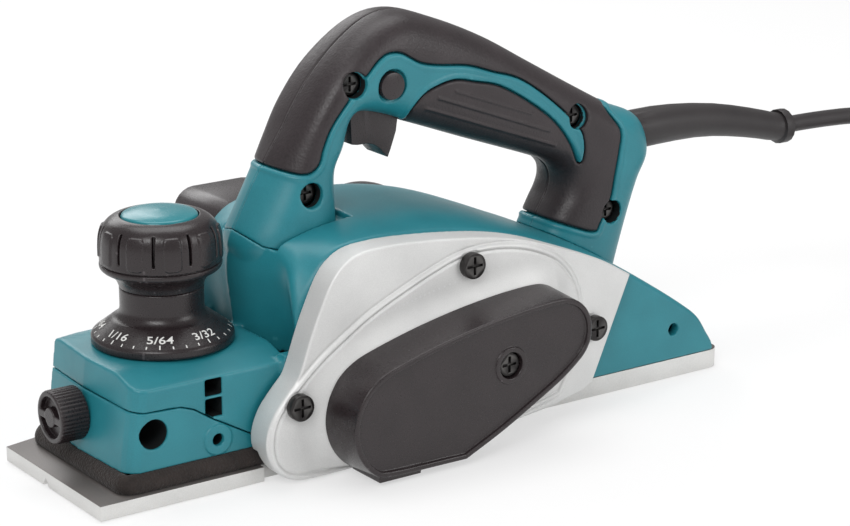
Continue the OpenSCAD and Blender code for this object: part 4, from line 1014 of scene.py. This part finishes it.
# %% Ticks and numbers
paint = finish("white_print", (0.72, 0.72, 0.70), (0.84, 0.84, 0.82), 0.3, (0.5, 0.6),
    reliefs=[("noise", 0.3, 0.02, EVEN)])
CONE_R, CONE_Z, CONE_TURN = 25.4, 49.97, math.atan2(55.27 - 49.9, 25.4 - 18.26)

def on_cone(angle, along, side):
    """A point on the dial's cone: along is the way up from its lower edge and side the way round, in mm."""
    r = CONE_R - along * math.cos(CONE_TURN)
    a = math.radians(angle) + side / r
    z = CONE_Z + along * math.sin(CONE_TURN)
    return ((KNOB_X + r * math.cos(a)) * MM, r * math.sin(a) * MM, z * MM)

def flat_number(text, height):
    """The flat outline of a number as vertices and faces, its foot at 0 and its middle at 0."""
    letters = bpy.data.curves.new("number", "FONT")
    letters.body = text
    letters.size = height / 0.72
    letters.align_x = "CENTER"
    letters.resolution_u = 3
    letters.offset = 0.016 * height
    o = bpy.data.objects.new("number", letters)
    mesh = o.to_mesh()
    verts = [(v.co.x, v.co.y) for v in mesh.vertices]
    faces = [tuple(p.vertices) for p in mesh.polygons]
    o.to_mesh_clear()
    bpy.data.objects.remove(o)
    bpy.data.curves.remove(letters)
    return verts, faces

mark_verts, mark_faces = [], []

def add_mark(angle, verts, faces):
    start = len(mark_verts)
    mark_verts.extend(on_cone(angle, v, u) for u, v in verts)
    mark_faces.extend(tuple(start + k for k in f) for f in faces)

FIRST = 13.0
for i in range(32):
    tall = 2.3 if i % 4 == 0 else 1.7
    add_mark(FIRST + 11.25 * i, [(-0.24, 0.5), (0.24, 0.5), (0.24, tall), (-0.24, tall)], [(0, 1, 2, 3)])
for i, text in enumerate(("0", "1/64", "1/32", "3/64", "1/16", "5/64", "3/32")):
    verts, faces = flat_number(text, 3.2)
    add_mark(FIRST + 45 * i, [(1.25 * u, v + 3.0) for u, v in verts], faces)
add_piece("dial_marks", mark_verts, mark_faces, paint, "depth_knob", smooth=False)
print("marks:", len(mark_faces))

# %% [markdown]
# ## Clamp knob
# The small knob on the front block has fine ribs round its rim and two hollows in its face, which leave a
# bar to turn it by. The ribs could be forty small bars. A radius that waves forty times round is shorter.

# %% Clamp knob
CLAMP_FACE, CLAMP_HOLLOW, CLAMP_BACK = -140, -137.6, -128.9
clamp_bench = Bench((-142, -12, 13), (-123, 12, 38), 0.25)
u, v = clamp_bench.y, clamp_bench.z - FENCE[1]
reach, around = np.hypot(u, v), np.arctan2(v, u)
knob = np.maximum(CLAMP_FACE - clamp_bench.x, clamp_bench.x - CLAMP_BACK)
knob = np.maximum(reach - 9.75 - 0.25 * np.cos(40 * around), knob)
knob = meet(meet(reach - 9.9, CLAMP_FACE - clamp_bench.x, 1.6), knob, 0.3)
hollow = np.maximum(np.maximum(reach - 7.6, 1.5 - np.abs(v)), clamp_bench.x - CLAMP_HOLLOW)
knob = cut(knob, hollow, 0.6)
knob = join(knob, np.maximum(reach - 3.6, clamp_bench.x - CLAMP_HOLLOW), 0.4)
knob = meet(knob, CLAMP_FACE - clamp_bench.x, 0.3)
knob = join(knob, bar_x(clamp_bench, 0, FENCE[1], -129.5, -123.8, 3))
clamp_bench.draw("clamp_knob_ribbed", knob, finishes["dark_plastic"], "clamp_knob", ["clamp_screw"],
    "dark_plastic")

# %% [markdown]
# ## Foam seal and depth spring
# A foam strip closes the gap between the front base and the housing. It is cut from a flat ring, bulges a
# little, and is squeezed when the base rises. Inside it the depth spring is a wound wire that shortens
# with the same movement. A simulation could squeeze them. Here both are built once, as fixed shapes.

# %% Foam seal
seal_bench = Bench((-134, -41, 5), (-58, 41, 13), 0.4)
SEAL_MID, SEAL_HALF = 8.95, 3.35
outer_plan = [(-126, -32.5), (-66, -32.5), (-66, 32.5), (-98, 32.5), (-126, 26)]
inner_plan = [(-128, -34.5), (-64, -34.5), (-64, 34.5), (-97.5, 34.5), (-128, 27)]
outer = outline_field(outer_plan, seal_bench.x, seal_bench.y) - 6
inner = outline_field(inner_plan, seal_bench.x, seal_bench.y)
swelling = 0.5 * np.clip(1 - ((seal_bench.z - 8.2) / SEAL_HALF) ** 2, 0, 1)
swelling = swelling - 1.6 * np.clip((seal_bench.z - 7.5) / 4.8, 0, 1) ** 2
strip = meet(np.maximum(outer - swelling, -inner), np.abs(seal_bench.z - SEAL_MID) - SEAL_HALF, 1.0)
seal = seal_bench.draw("foam_seal", strip, finishes["foam"], "casing", ["dust_seal"], "foam")
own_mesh(seal)

# %% Depth spring
turns, rings = 6, []
SPRING_LOW, SPRING_LENGTH, SPRING_R, WIRE_R = 6.75, 34.6, 14.5, 0.9
UP = np.array([0, 0, 1])
for a in np.linspace(0, 2 * math.pi * turns, 24 * turns + 1):
    z = SPRING_LOW + SPRING_LENGTH * a / (2 * math.pi * turns)
    out = np.array([math.cos(a), math.sin(a), 0.0])
    middle = np.array([KNOB_X, 0, z]) + SPRING_R * out
    rings.append([((middle + WIRE_R * (math.cos(t) * out + math.sin(t) * UP)) * MM).tolist()
        for t in np.linspace(0, 2 * math.pi, 10, endpoint=False)])
spring = add_piece("depth_spring_wire", *loft(rings), finishes["turned_steel"], "casing", ["depth_spring"],
    "turned_steel")
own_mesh(spring)
print("spring turns:", turns)
